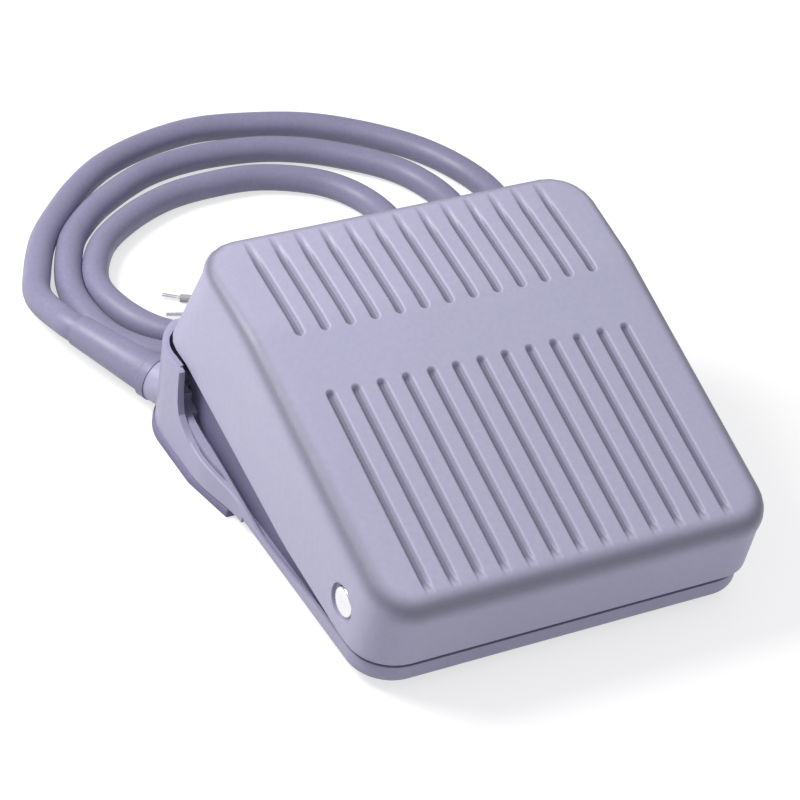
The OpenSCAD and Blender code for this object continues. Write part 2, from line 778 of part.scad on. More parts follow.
// Insulated receptacle pushed on each terminal
module terminal_sleeves() color([0.85, 0.3, 0.25])
    at_switch()
        for (y = [common_y, open_y, closed_y])
            translate([0, y, -1 - terminal_sleeve[2]]) difference() {
                translate([-terminal_sleeve[0] / 2, -terminal_sleeve[1] / 2, 0]) cube(terminal_sleeve);
                translate([-strip_w / 2, -strip_t / 2, 1 + terminal_sleeve[2] - tab_l])
                    cube([strip_w, strip_t, tab_l + over]);
            }

module lever_pin() color([0.8, 0.8, 0.82])
    at_switch()
        translate([-lever_w / 2 - 1.6, lever_pivot[0], lever_pivot[1]]) rod_x(lever_pin_r, lever_w + 3.2);

// ---------- lead ----------

// Tapered sleeve; inside the base it ends in a flange cut to the floor and the side wall
module cord_sleeve() color([0.5, 0.48, 0.62]) {
    intersection() {
        at_exit() translate([0, 0, -boss_in - flange_t]) rotate_extrude()
            translate([lead_d / 2, 0]) square([sleeve_flange_r - lead_d / 2, flange_t]);
        translate([-base_w / 2 + base_wall + flange_gap, 0, floor_h + flange_gap])
            cube([base_w, base_rear_y, collar_h]);
    }
    at_exit() rotate_extrude() difference() {
        union() {
            translate([0, -boss_in - flange_t]) square([sleeve_neck_r - flange_gap, flange_t]);
            translate([0, -boss_in]) square([sleeve_neck_r, boss_in + boss_out]);
            polygon([[0, boss_out], [sleeve_flange_r, boss_out], [sleeve_flange_r, boss_out + 2],
                     [sleeve_flange_r - 0.5, boss_out + 2.5], [lead_d / 2 + 0.4, sleeve_tip], [0, sleeve_tip]]);
        }
        translate([-over, -2 * boss_in]) square([lead_d / 2 + over, 4 * sleeve_tip]);
    }
}

module lead_inner() color([0.5, 0.48, 0.62])
    at_exit() translate([0, 0, -inner_lead_l]) cylinder(r = lead_d / 2, h = inner_lead_l + sleeve_tip);

// Strap over the lead, held by one screw
module cord_clamp() color([0.75, 0.76, 0.78])
    translate([exit_x, exit_y, exit_h]) rotate([0, 0, exit_heading - 90])
        translate([0, clamp_at + 3.5, 0]) rotate([90, 0, 0]) difference() {
            linear_extrude(7) difference() {
                union() {
                    circle(lead_d / 2 + 1.2);
                    translate([-lead_d / 2 - 1.2, -lead_d / 2]) square([1.2, lead_d / 2]);
                    translate([lead_d / 2, boss_top - exit_h]) square([clamp_reach + screw_boss_r - lead_d / 2, 1.2]);
                }
                circle(lead_d / 2);
                translate([-lead_d / 2, -lead_d]) square([lead_d, lead_d]);
                translate([0, -lead_d]) square([2 * lead_d, lead_d + boss_top - exit_h]);
            }
            translate([clamp_reach, boss_top - exit_h - over, 3.5]) rotate([-90, 0, 0])
                cylinder(r = screw_r, h = 1.2 + 2 * over);
        }

module clamp_screw() color([0.8, 0.8, 0.82])
    translate([clamp_x, clamp_y, boss_top + 1.2]) mirror([0, 0, 1]) difference() {
        pan_screw(1.2 + screw_depth - 0.5);
        driver_slot();
    }

// Place in the jacket's inner end face, at a side step and a rise from its middle
function jacket_end(side, rise, back = 0) =
    [exit_x - (inner_lead_l + back) * cos(exit_heading) + side * sin(exit_heading),
     exit_y - (inner_lead_l + back) * sin(exit_heading) - side * cos(exit_heading),
     exit_h + rise];

core_end_h = switch_h0 - terminal_sleeve[2] + 1;
function sleeve_side(y) = [switch_x - terminal_sleeve[0] / 2, switch_y + y, core_end_h];

// One core, from the jacket's end by way of some bends to its terminal
module core(side, rise, bends, y) {
    face = sleeve_side(y);
    tube(concat([jacket_end(side, rise), jacket_end(side, rise, 3)], bends,
                [face - [3, 0, 0], face]), core_d / 2);
}

module core_common() color([0.2, 0.3, 0.6])
    core(-1.1, -0.6, [[-33, 15, 6.9], [-31.5, 6, 7.1], [-28, -0.5, 7.3]], common_y);

module core_open() color([0.15, 0.15, 0.16])
    core(0, 1.25, [[-31, 16.5, 8.2], [-28.5, 10, 7.8], [-25, 6.8, 7.5]], open_y);

module core_closed() color([0.75, 0.7, 0.7])
    core(1.1, -0.6, [[-29.5, 17, 7], [-26, 15, 7.2]], closed_y);

module cord() color([0.5, 0.48, 0.62])
    tube(route, lead_d / 2);

// Bared end of the lead: three cores with tinned tips
module cord_cores() color([0.6, 0.55, 0.6]) {
    last = route[len(route) - 1];
    along = unit(last - route[len(route) - 2]);
    across_lead = [-along[1], along[0], 0];
    for (k = [-1, 0, 1]) {
        start = last + across_lead * k * core_d * 1.05 - [0, 0, abs(k) * 0.5];
        bend = start + along * core_fan / 2 + across_lead * k * 1.5 - [0, 0, 0.6];
        low = [0, 0, lead_rest_h - core_d / 2];
        end = last + along * core_free_l + across_lead * k * 6 - low;
        tip = end + unit(end - bend) * core_bare_l;
        tube([start, start + along, bend, end], core_d / 2);
        tube([end, tip], wire_r);
    }
}

// ---------- cover and what moves ----------

// Row of grooves; each starts at 0 and runs along -Y
module groove_row(l) {
    for (i = [0:groove_count - 1])
        translate([(i - (groove_count - 1) / 2) * groove_pitch, 0, -groove_depth])
            linear_extrude(groove_depth + over) {
                translate([-groove_w / 2, -l + groove_w / 2]) square([groove_w, l - groove_w]);
                translate([0, -groove_w / 2]) circle(groove_w / 2, $fn = 24);
                translate([0, -l + groove_w / 2]) circle(groove_w / 2, $fn = 24);
            }
}

// Bosses and webs inside the cover, trimmed to its form
module cover_inside() {
    web_h = crest_h;
    both_sides() {
        translate([ear_out_x + bush_flange + ear_gap, pin_y, pin_h])
            rod_x(pin_d / 2 + 3, cover_wall + boss_proud);
        translate([stop_x - stop_web_t / 2, stop_y - stop_web_l / 2, stop_face_h])
            cube([stop_web_t, stop_web_l, web_h]);
        translate([stop_x - stop_web_t / 2, stop_y, skirt_end_h])
            cube([stop_web_t, 2 * stop_web_l, web_h]);
        across_web(rest_x, rest_web_t);
    }
    translate([0, spring_y, spring_boss_h]) cylinder(r = spring_collar_r, h = web_h);
    translate([0, spring_y, spring_boss_h - spring_pin_l]) cylinder(r = spring_pin_r, h = web_h);
    translate([switch_x, press_y, adjuster_seat_h]) cylinder(r = adjuster_boss_r, h = web_h);
}

// Web at the front that rests on its buffer when the cover is up
module across_web(x, t) {
    front = rest_y - rest_r + 0.3;
    translate([x - t / 2, 0, 0]) rotate([90, 0, 90]) linear_extrude(t)
        polygon([[front, rest_face_h], [rest_y + rest_r, rest_face_h], [rest_y + rest_r, fold_h],
                 [edge_y, fold_h], [edge_y, skirt_front_h + 1], [front, skirt_front_h + 1]]);
}

module tread_cover() color([0.76, 0.76, 0.83])
    difference() {
        union() {
            difference() {
                cover_form(0);
                cover_form(cover_wall);
                below_skirt();
            }
            intersection() {
                cover_form(cover_wall / 2);
                cover_inside();
            }
        }
        on_front_tread() translate([0, (front_tread_l - front_groove_start) / cos(front_slope), 0])
            groove_row(front_groove_l);
        on_rear_tread() translate([0, (rear_tread_l - rear_groove_start) / cos(rear_slope), 0])
            groove_row(rear_groove_l);
        translate([-cover_w, pin_y, pin_h]) rod_x(pin_d / 2, 2 * cover_w);
        both_sides()
            translate([cover_w / 2 - pin_eye_depth, pin_y, pin_h]) rod_x(pin_eye_r, 4 * over);
        translate([switch_x, press_y, press_h])
            cylinder(r = adjuster_r, h = adjuster_l + 0.1);
    }

module hinge_pin() color([0.88, 0.9, 0.9])
    difference() {
        translate([-pin_end_x, pin_y, pin_h]) rod_x(pin_d / 2, 2 * pin_end_x);
        both_sides() translate([clip_x - clip_t, pin_y, pin_h]) difference() {
            rod_x(pin_d, clip_t);
            translate([-over, 0, 0]) rod_x(pin_d / 2 - 0.6, clip_t + 2 * over);
        }
    }

// Spring clips in the pin's two grooves
module pin_clips() color([0.6, 0.6, 0.62])
    both_sides()
        translate([clip_x - clip_t, pin_y, pin_h]) rotate([90, 0, 90]) linear_extrude(clip_t)
            difference() {
                circle(pin_d / 2 + 2);
                circle(pin_d / 2 - 0.6);
                translate([-pin_d / 2 + 0.6, 0]) square([pin_d - 1.2, 2 * pin_d]);
            }

module adjusting_screw() color([0.8, 0.8, 0.82])
    translate([switch_x, press_y, press_h]) {
        intersection() {
            cylinder(r = adjuster_head_r, h = adjuster_head_t);
            translate([0, 0, adjuster_dome_r]) union() {
                sphere(adjuster_dome_r);
                translate([0, 0, -adjuster_dome_r / 2]) cylinder(r = adjuster_dome_r, h = adjuster_dome_r);
            }
        }
        cylinder(r = adjuster_r, h = adjuster_l);
    }

module adjusting_nut() color([0.8, 0.8, 0.82])
    translate([switch_x, press_y, adjuster_seat_h - adjuster_nut_t]) difference() {
        cylinder(r = adjuster_nut_r, h = adjuster_nut_t, $fn = 6);
        translate([0, 0, -over]) cylinder(r = adjuster_r, h = adjuster_nut_t + 2 * over);
    }

module return_spring() color([0.7, 0.71, 0.74]) {
    steps = 12;
    r = (spring_d - spring_wire) / 2;
    rise = spring_l - spring_wire;
    path = [for (i = [0:spring_turns * steps])
        let (t = i / (spring_turns * steps))
        [r * cos(360 * i / steps), spring_y + r * sin(360 * i / steps),
         spring_seat_h + spring_wire / 2 + rise * t]];
    tube(path, spring_wire / 2, 6);
}

module switch_plunger() color([0.8, 0.25, 0.2])
    at_switch() translate([0, plunger_y, plunger_foot]) {
        cylinder(r = plunger_d / 2, h = plunger_top - plunger_foot);
        translate([0, 0, switch_h - case_wall - plunger_foot - 1.2]) cylinder(r = plunger_d / 2 + 0.8, h = 1);
    }

// Leaf with a rolled eye, rising towards its free end
module switch_lever() color([0.82, 0.83, 0.85])
    at_switch() translate([-lever_w / 2, lever_pivot[0], lever_pivot[1]]) rotate([lever_rise, 0, 0])
        difference() {
            union() {
                rod_x(lever_eye_r, lever_w);
                translate([0, 0, -lever_t / 2]) cube([lever_w, lever_l, lever_t]);
            }
            translate([-over, 0, 0]) rod_x(lever_pin_r + 0.05, lever_w + 2 * over);
        }

module contact_blade() color([0.85, 0.6, 0.35])
    at_switch() {
        translate([-blade_w / 2, blade_roll_y, blade_h]) rod_x(blade_roll_r, blade_w);
        translate([-blade_w / 2, blade_roll_y, blade_h - blade_t / 2])
            cube([blade_w, contact_y + contact_r - blade_roll_y, blade_t]);
        rivet(contact_y, blade_h - blade_t / 2 - rivet_t, 2 * rivet_t + blade_t);
    }

base_housing();
rubber_sole();
front_feet();
hinge_bushes();
stop_buffers();
rest_buffers();
switch_bracket();
bracket_screws();
switch_case();
switch_side_cover();
switch_screws();
switch_nuts();
terminal_common();
terminal_open();
terminal_closed();
terminal_sleeves();
lever_pin();
cord_sleeve();
lead_inner();
cord_clamp();
clamp_screw();
core_common();
core_open();
core_closed();
tread_cover();
hinge_pin();
pin_clips();
adjusting_screw();
adjusting_nut();
return_spring();
switch_plunger();
switch_lever();
contact_blade();
cord();
cord_cores();
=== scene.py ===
"""Looks of the industrial foot switch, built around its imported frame.

Lengths are in metres, in the frame's axes: +X right, +Y towards the raised rear end, +Z up, and the
ground at zero. Shapes are worked out with numpy as whole arrays of points.
"""

import json
import math

import bmesh
import bpy
import numpy as np
from bpy.props import FloatProperty, FloatVectorProperty, IntProperty, PointerProperty
from mathutils import Matrix, Vector


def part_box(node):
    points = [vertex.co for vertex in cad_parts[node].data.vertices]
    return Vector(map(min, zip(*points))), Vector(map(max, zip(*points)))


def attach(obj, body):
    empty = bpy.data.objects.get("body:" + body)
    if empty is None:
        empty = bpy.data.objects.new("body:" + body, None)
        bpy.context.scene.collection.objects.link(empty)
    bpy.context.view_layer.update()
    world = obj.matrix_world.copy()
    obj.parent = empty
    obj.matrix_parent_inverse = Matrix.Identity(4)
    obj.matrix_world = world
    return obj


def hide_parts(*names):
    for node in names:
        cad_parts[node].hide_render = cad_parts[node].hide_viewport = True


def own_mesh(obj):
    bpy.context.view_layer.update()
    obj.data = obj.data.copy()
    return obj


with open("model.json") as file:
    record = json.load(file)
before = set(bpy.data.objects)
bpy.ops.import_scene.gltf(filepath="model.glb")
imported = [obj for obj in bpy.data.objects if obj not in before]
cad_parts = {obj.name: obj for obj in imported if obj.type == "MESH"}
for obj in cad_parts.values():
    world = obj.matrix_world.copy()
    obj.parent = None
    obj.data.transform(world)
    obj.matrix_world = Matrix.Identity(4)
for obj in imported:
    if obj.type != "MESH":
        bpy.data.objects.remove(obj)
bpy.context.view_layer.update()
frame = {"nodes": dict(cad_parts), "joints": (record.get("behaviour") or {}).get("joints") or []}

bl_info = {
    "name": "Foot switch",
    "version": (1, 0, 0),
    "blender": (4, 5, 0),
    "location": "3D View > Sidebar > Foot switch",
    "description": "Builds the cover, base, lead and switch of a foot switch",
    "category": "Object",
}

MM = 0.001
NODES = frame["nodes"]
JOINTS = {j["name"]: j for j in frame["joints"]}
HINGE = np.array(JOINTS["cover_hinge"]["pos_m"])
BASE_LOW, BASE_HIGH = (np.array(v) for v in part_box("base_housing"))
SPRING_LOW, SPRING_HIGH = (np.array(v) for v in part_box("return_spring"))
PIN_LOW, PIN_HIGH = (np.array(v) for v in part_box("hinge_pin"))
PIN_RADIUS = (PIN_HIGH[2] - PIN_LOW[2]) / 2
TRAVEL = math.radians(JOINTS["cover_hinge"]["range_deg"][1])

# Plan of the base: half width and corner radius in front, corner radius at the rear
BASE_FRONT_HALF = 43.2 * MM
BASE_CORNER = 9 * MM
BASE_REAR_CORNER = 14 * MM

# Lead: its exit's height, where on the rear corner and which way it leaves, its sleeve's length
EXIT_HEIGHT = 7.2 * MM
EXIT_AT = math.radians(134)
EXIT_HEADING = math.radians(112)
SLEEVE_TIP = 23 * MM
# Route of the free lead after its sleeve, in metres
ROUTE = np.array([
    (-52, 84, 4.8), (-47.5, 95, 3.4), (-41.5, 105.5, 3), (-34, 114, 3), (-25.5, 122, 3),
    (-16, 128.5, 3), (-4, 133, 3), (8.5, 135, 3), (20.5, 133.5, 3), (34, 129.5, 3), (44.5, 123, 3),
    (54, 114, 3), (60, 104, 3), (63, 92.5, 3), (61.5, 80.5, 3), (55.5, 70, 3), (47, 62, 3),
    (36, 57, 3), (24, 54.5, 3), (11.5, 53.5, 3), (-2, 53.5, 3), (-16, 53.5, 3), (-27.5, 55.5, 3),
    (-37.5, 61.5, 3), (-43, 71, 3), (-43.5, 86, 3), (-37.5, 100.5, 3), (-31, 108.5, 3),
    (-22, 115.5, 3), (-9.5, 122, 3), (3, 124.5, 3), (15.5, 124, 3), (25.5, 121.5, 3),
    (35.5, 116, 3), (46, 106.5, 3), (51, 95, 3), (51, 83.5, 3), (46, 73, 3), (37, 65.5, 3),
    (26, 61, 3), (13.5, 59.5, 3), (0, 59.5, 3), (-13.5, 59.5, 3), (-26.5, 63, 3), (-34.5, 71.5, 3),
    (-37.5, 85.5, 3), (-31.5, 98, 3), (-22, 106, 3), (-10.5, 111.5, 3), (0.5, 113.5, 3),
    (14, 113, 3), (26, 107.5, 3), (32.5, 99.5, 3), (35, 89, 3), (32.5, 78.5, 3), (25, 70.5, 3),
    (15, 66, 3), (2, 65.5, 3), (-9.5, 69, 3)]) * MM


# ---------- sizes and colours a user may change ----------

def length(name, text, value):
    """A length, its default given in mm."""
    return FloatProperty(name=name, description=text, default=value * MM, min=0.0001, max=1.0,
                         subtype="DISTANCE", unit="LENGTH", precision=5)


def slope(name, text, degrees):
    return FloatProperty(name=name, description=text, default=math.radians(degrees),
                         subtype="ANGLE", unit="ROTATION")


def colour(name, text, value):
    return FloatVectorProperty(name=name, description=text, default=value, size=3, min=0, max=1,
                               subtype="COLOR")


def share(name, text, value):
    return FloatProperty(name=name, description=text, default=value, min=0, max=1,
                         subtype="FACTOR")


class CoverSizes(bpy.types.PropertyGroup):
    """Sizes of the ribbed tread cover"""
    width: length("Width", "Width of the cover", 88)
    wall: length("Wall", "Wall thickness of the cover", 2.4)
    corner: length("Corner radius", "Radius of the corners seen from above", 9)
    front_height: length("Front height", "Height of the tread's front edge", 23.1)
    front_slope: slope("Front slope", "Slope of the front tread", 18.7)
    rear_slope: slope("Rear slope", "Slope of the rear tread", 10.3)
    front_length: length("Front tread", "Level length of the front tread", 62.7)
    rear_length: length("Rear tread", "Level length of the rear tread", 24.7)
    blend: length("Fold blend", "Length over which the two treads blend", 5)
    front_fillet: length("Front fillet", "Fillet under the front edge", 4.5)
    side_fillet: length("Side fillet", "Fillet along the sides at the fold", 3.5)
    rear_fillet: length("Rear fillet", "Fillet along the rear edge", 2.6)
    undercut: length("Undercut", "Setback of the foot of the front face", 3.6)
    pin_setback: length("Pin setback", "From the tread's front edge to the hinge pin", 16.2)
    skirt_height: length("Skirt height", "Height of the skirt's edge at the front", 7.9)
    rear_lean: slope("Rear lean", "Lean of the rear face", 21)
    groove_count: IntProperty(name="Grooves", description="Grooves side by side", default=13)
    groove_pitch: length("Groove pitch", "From one groove to the next", 5.5)
    groove_width: length("Groove width", "Width of a groove", 1.7)
    groove_depth: length("Groove depth", "Depth of a groove", 0.9)
    front_groove: length("Front groove", "Length of a front groove", 44.8)
    front_groove_start: length("Front groove start", "From the fold to the front grooves", 15.1)
    rear_groove: length("Rear groove", "Length of a rear groove", 22)
    rear_groove_start: length("Rear groove start", "From the rear edge to the rear grooves", 5.6)


class LeadSizes(bpy.types.PropertyGroup):
    """Sizes of the lead"""
    diameter: length("Diameter", "Diameter of the lead", 6)
    sides: IntProperty(name="Sides", description="Faces round the lead", default=28)


class Colours(bpy.types.PropertyGroup):
    """Colours of the visible finishes"""
    cover: colour("Cover", "Moulded cover with painted shade", (0.44, 0.43, 0.58))
    base: colour("Base", "Moulded base", (0.37, 0.36, 0.50))
    # Painted shade: the guard walls are coloured dark in place of the shade in the wedge under the
    # cover's skirt
    guard: colour("Guard", "Guard walls inside the cover's sides", (0.15, 0.145, 0.24))
    sole: colour("Sole", "Rubber sole", (0.20, 0.185, 0.30))
    lead: colour("Lead", "Jacket of the lead", (0.235, 0.225, 0.345))
    steel: colour("Steel", "Bright steel", (0.80, 0.80, 0.82))
    # Painted shade: how much darker the cover's fillet edges and grooves are painted, in place of
    # their shade
    tone: share("Painted edge shade", "How much darker the cover's edges and grooves are", 0.55)


# ---------- meshes ----------

def grid_faces(rows, cols, closed=False, looped=False):
    """Quads of a grid of points counted row by row.

    closed joins the last column to the first, looped the last row to the first.
    """
    i, j = np.meshgrid(np.arange(rows if looped else rows - 1),
                       np.arange(cols if closed else cols - 1), indexing="ij")
    a, b = i * cols + j, i * cols + (j + 1) % cols
    below = (i + 1) % rows * cols
    return np.stack([a, b, below + (j + 1) % cols, below + j], -1).reshape(-1, 4)


def new_mesh(name, parts):
    """One mesh from parts, each of which is its points and its quads or fans."""
    points, faces, n = [], [], 0
    for p, f in parts:
        p = np.asarray(p, float).reshape(-1, 3)
        points.append(p)
        faces += [[int(k) + n for k in face] for face in f]
        n += len(p)
    mesh = bpy.data.meshes.new(name)
    mesh.from_pydata(np.concatenate(points).tolist(), [], faces)
    return mesh


def new_object(name, data):
    """An object in the scene, at the origin."""
    thing = bpy.data.objects.new(name, data)
    bpy.context.scene.collection.objects.link(thing)
    return thing


def add_piece(name, parts, material, body, replaces=(), smooth_angle=40, marks=None):
    """Makes one object from parts and lets it ride on a body.

    marks gives each point's share of the painted shade of edges and grooves.
    """
    mesh = new_mesh(name, parts)
    # Painted shade: each point's share, which the material reads as a darker colour
    if marks is not None:
        tone = mesh.attributes.new("tone", "FLOAT", "POINT")
        tone.data.foreach_set("value", np.concatenate(marks).astype(np.float32))
    mesh.validate()
    piece = new_object(name, mesh)
    face_outwards(mesh)
    shade(mesh, smooth_angle)
    mesh.materials.append(material)
    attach(piece, body)
    if replaces:
        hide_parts(*replaces)
    return piece


def face_outwards(mesh):
    """Merges doubled points and turns every face to the outside."""
    b = bmesh.new()
    b.from_mesh(mesh)
    bmesh.ops.remove_doubles(b, verts=b.verts, dist=1e-7)
    bmesh.ops.recalc_face_normals(b, faces=b.faces)
    b.to_mesh(mesh)
    b.free()


def shade(mesh, angle):
    """Smooth faces, with edges kept sharp where two faces meet at more than the angle."""
    mesh.polygons.foreach_set("use_smooth", np.ones(len(mesh.polygons), bool))
    mesh.set_sharp_from_angle(angle=math.radians(angle))


def tube(path, radius, sides):
    """Tube round a path: at each point a circle across the path's direction, plus two end caps."""
    path = np.asarray(path, float)
    along = np.gradient(path, axis=0)
    along /= np.linalg.norm(along, axis=1, keepdims=True)
    side = np.cross(along, (0, 0, 1.0))
    side /= np.linalg.norm(side, axis=1, keepdims=True)
    up = np.cross(side, along)
    a = np.linspace(0, 2 * np.pi, sides, endpoint=False)
    r = np.broadcast_to(np.asarray(radius, float), (len(path),))[:, None, None]
    ring = np.cos(a)[None, :, None] * side[:, None] + np.sin(a)[None, :, None] * up[:, None]
    points = (path[:, None] + r * ring).reshape(-1, 3)
    faces = [*grid_faces(len(path), sides, closed=True),
             list(range(sides)), list(range(len(points) - sides, len(points)))]
    return points, faces


def smooth_path(points, step):
    """Points every step along the Catmull-Rom curve through the given points."""
    p = np.asarray(points, float)
    p = np.vstack([2 * p[0] - p[1], p, 2 * p[-1] - p[-2]])
    t = np.linspace(0, 1, 16, endpoint=False)[:, None]
    runs = [0.5 * (2 * b + (c - a) * t + (2 * a - 5 * b + 4 * c - d) * t ** 2
                   + (3 * b - a - 3 * c + d) * t ** 3)
            for a, b, c, d in zip(p[:-3], p[1:-2], p[2:-1], p[3:])]
    line = np.vstack([*runs, p[-2]])
    run = np.concatenate([[0], np.cumsum(np.linalg.norm(np.diff(line, axis=0), axis=1))])
    at = np.linspace(0, run[-1], int(run[-1] / step) + 1)
    return np.stack([np.interp(at, run, line[:, k]) for k in range(3)], 1)


def lathe(profile, centre, axis, sides=48, looped=False):
    """Profile points (radius, height) turned round an axis through centre.

    The ends of the profile are closed, or joined to each other for a looped profile.
    """
    axis = np.asarray(axis, float) / np.linalg.norm(axis)
    u = np.cross(axis, (0, 0, 1.0) if abs(axis[2]) < 0.9 else (1.0, 0, 0))
    u /= np.linalg.norm(u)
    v = np.cross(axis, u)
    profile = np.asarray(profile, float)
    a = np.linspace(0, 2 * np.pi, sides, endpoint=False)
    ring = np.cos(a)[:, None] * u + np.sin(a)[:, None] * v
    points = (np.asarray(centre) + profile[:, 0, None, None] * ring[None]
              + profile[:, 1, None, None] * axis)
    if looped:
        return points.reshape(-1, 3), list(grid_faces(len(profile), sides, True, True))
    faces = list(grid_faces(len(profile), sides, closed=True))
    if profile[0, 0] > 1e-9:
        faces.append(list(range(sides)))
    if profile[-1, 0] > 1e-9:
        faces.append(list(range((len(profile) - 1) * sides, len(profile) * sides)))
    return points.reshape(-1, 3), faces


def prism(outline, low, high, axis=0):
    """Closed block: an outline in two coordinates, from low to high along the third, the axis."""
    outline = np.asarray(outline, float)
    n = len(outline)
    ends = [np.insert(outline, axis, level, axis=1) for level in (low, high)]
    return np.concatenate(ends), [*grid_faces(2, n, closed=True), list(range(n)),
                                  list(range(n, 2 * n))]


def swept(section, path):
    """Closed bar: rows of section points, one row for each place along a path, and two end caps.

    path gives the points of each corner of the section, whole arrays of (x, y, z) along the path.
    """
    rows = np.stack([np.column_stack(path(*corner)) for corner in section], 1)
    n, k = rows.shape[:2]
    return rows.reshape(-1, 3), [*grid_faces(n, k, closed=True), list(range(k)),
                                 list(range(k * n - k, k * n))]


def cut(piece, parts):
    """Takes closed parts, which don't overlap each other, away from a piece."""
    mesh = new_mesh("cutter", parts)
    face_outwards(mesh)
    cutter = new_object("cutter", mesh)
    boolean = piece.modifiers.new("Cut", "BOOLEAN")
    boolean.operation = "DIFFERENCE"
    boolean.solver = "EXACT"
    boolean.object = cutter
    apply_modifiers(piece)
    bpy.data.objects.remove(cutter)
    bpy.data.meshes.remove(mesh)


def softened(node, name, width, cuts=()):
    """Copy of a CAD solid, cut, with its edges rounded, so that they catch the light."""
    mesh = NODES[node].data.copy()
    mesh.name = name
    b = bmesh.new()
    b.from_mesh(mesh)
    bmesh.ops.remove_doubles(b, verts=b.verts, dist=2e-6)
    bmesh.ops.dissolve_limit(b, angle_limit=math.radians(0.6), verts=b.verts, edges=b.edges)
    b.to_mesh(mesh)
    b.free()
    piece = new_object(name, mesh)
    for part in cuts:
        cut(piece, [part])
    bevel = piece.modifiers.new("Rounded edges", "BEVEL")
    bevel.width = width
    bevel.segments = 2
    bevel.limit_method = "ANGLE"
    bevel.angle_limit = math.radians(35)
    bevel.harden_normals = False
    apply_modifiers(piece)
    shade(piece.data, 50)
    return piece


def apply_modifiers(piece):
    """Puts the modifiers' result into the piece's own mesh."""
    bpy.context.view_layer.update()
    graph = bpy.context.evaluated_depsgraph_get()
    done = bpy.data.meshes.new_from_object(piece.evaluated_get(graph))
    piece.modifiers.clear()
    piece.data = done


# ---------- materials ----------

# The part of a noise's values over which patches change
NOISE_RANGE = {"From_Min": 0.3, "From_Max": 0.7}


class Finish:
    """A node material on Object coordinates: colour patches, grain and a bump of two sizes."""

    def __init__(self, name, colour, roughness, metallic=0.0, specular=0.5):
        self.m = bpy.data.materials.new(name)
        self.m.use_nodes = True
        self.tree = self.m.node_tree
        self.bsdf = self.tree.nodes["Principled BSDF"]
        self.colour = (*colour, 1)
        for socket, value in (("Base Color", self.colour), ("Roughness", roughness),
                              ("Metallic", metallic), ("Specular IOR Level", specular)):
            self.bsdf.inputs[socket].default_value = value
        self.m.diffuse_color = self.colour
        self.where = self.tree.nodes.new("ShaderNodeTexCoord")
        self.bumped = None

    def node(self, kind, **inputs):
        n = self.tree.nodes.new(kind)
        for k, v in inputs.items():
            n.inputs[k.replace("_", " ")].default_value = v
        return n

    def link(self, a, b):
        self.tree.links.new(a, b)

    def ramp(self, value, low, high, **between):
        """A value mapped to low for 0 and high for 1, or for what between says."""
        n = self.node("ShaderNodeMapRange", To_Min=low, To_Max=high, **between)
        self.link(value, n.inputs["Value"])
        return n.outputs["Result"]

    def noise(self, per_metre, detail=3.0, stretch=None):
        """Noise of so many patches per metre, its space scaled along the three axes."""
        n = self.node("ShaderNodeTexNoise", Scale=per_metre, Detail=detail)
        source = self.where.outputs["Object"]
        if stretch:
            mapping = self.node("ShaderNodeMapping", Scale=stretch)
            self.link(source, mapping.inputs["Vector"])
            source = mapping.outputs["Vector"]
        self.link(source, n.inputs["Vector"])
        return n.outputs["Fac"]

    def mottle(self, per_metre, amount, detail=3.0, stretch=None):
        """Colour varies by the amount, lighter and darker, over patches."""
        patches = self.noise(per_metre, detail, stretch)
        return self.scaled(self.ramp(patches, 1 - amount, 1 + amount, **NOISE_RANGE))

    def with_painted_shade(self, amount):
        """Painted shade: colour is darker by the amount where the piece's own marks say so."""
        marks = self.tree.nodes.new("ShaderNodeAttribute")
        marks.attribute_name = "tone"
        return self.scaled(self.ramp(marks.outputs["Fac"], 1, 1 - amount))

    def scaled(self, factor):
        """Multiplies the colour so far by a factor."""
        mix = self.node("ShaderNodeVectorMath")
        mix.operation = "SCALE"
        link = self.bsdf.inputs["Base Color"].links
        if link:
            self.link(link[0].from_socket, mix.inputs[0])
        else:
            mix.inputs[0].default_value = self.colour[:3]
        self.link(factor, mix.inputs["Scale"])
        self.link(mix.outputs["Vector"], self.bsdf.inputs["Base Color"])
        return self

    def gloss(self, per_metre, low, high, stretch=None):
        """Roughness varies between two values over patches."""
        patches = self.noise(per_metre, 4.0, stretch)
        self.link(self.ramp(patches, low, high, **NOISE_RANGE), self.bsdf.inputs["Roughness"])
        return self

    def bump(self, per_metre, depth, strength=1.0, detail=2.0, stretch=None):
        """Raises and lowers the surface by noise of one size; calls add up."""
        b = self.node("ShaderNodeBump", Strength=strength, Distance=depth)
        self.link(self.noise(per_metre, detail, stretch), b.inputs["Height"])
        if self.bumped:
            self.link(self.bumped, b.inputs["Normal"])
        self.bumped = b.outputs["Normal"]
        self.link(self.bumped, self.bsdf.inputs["Normal"])
        return self


def moulded(name, colour, roughness=0.42, tone=0.0):
    """Moulded plastic: faint flow patches, a fine satin texture, slightly uneven gloss."""
    finish = Finish(name, colour, roughness, specular=0.32).mottle(18, 0.02).mottle(900, 0.025, 2.0)
    # Painted shade on the edges and in the grooves, where the piece's marks say so
    if tone:
        finish.with_painted_shade(tone)
    return (finish.gloss(60, roughness - 0.05, roughness + 0.07)
            .bump(2600, 0.00003, 0.5).bump(260, 0.00006, 0.25).m)


def rubbery(name, colour, roughness=0.7):
    """Rubber: matt, with a fine even grain."""
    return (Finish(name, colour, roughness, specular=0.3).mottle(40, 0.05).mottle(1500, 0.05, 2.0)
            .gloss(200, roughness - 0.08, roughness + 0.08)
            .bump(1800, 0.00005, 0.6).m)


def steel(name, colour, roughness=0.28, stretch=(1, 1, 1)):
    """Metal with fine drawn lines along its long direction."""
    return (Finish(name, colour, roughness, metallic=1.0).mottle(300, 0.05)
            .gloss(900, roughness - 0.08, roughness + 0.12, stretch)
            .bump(1800, 0.000012, 0.5, stretch=stretch).m)


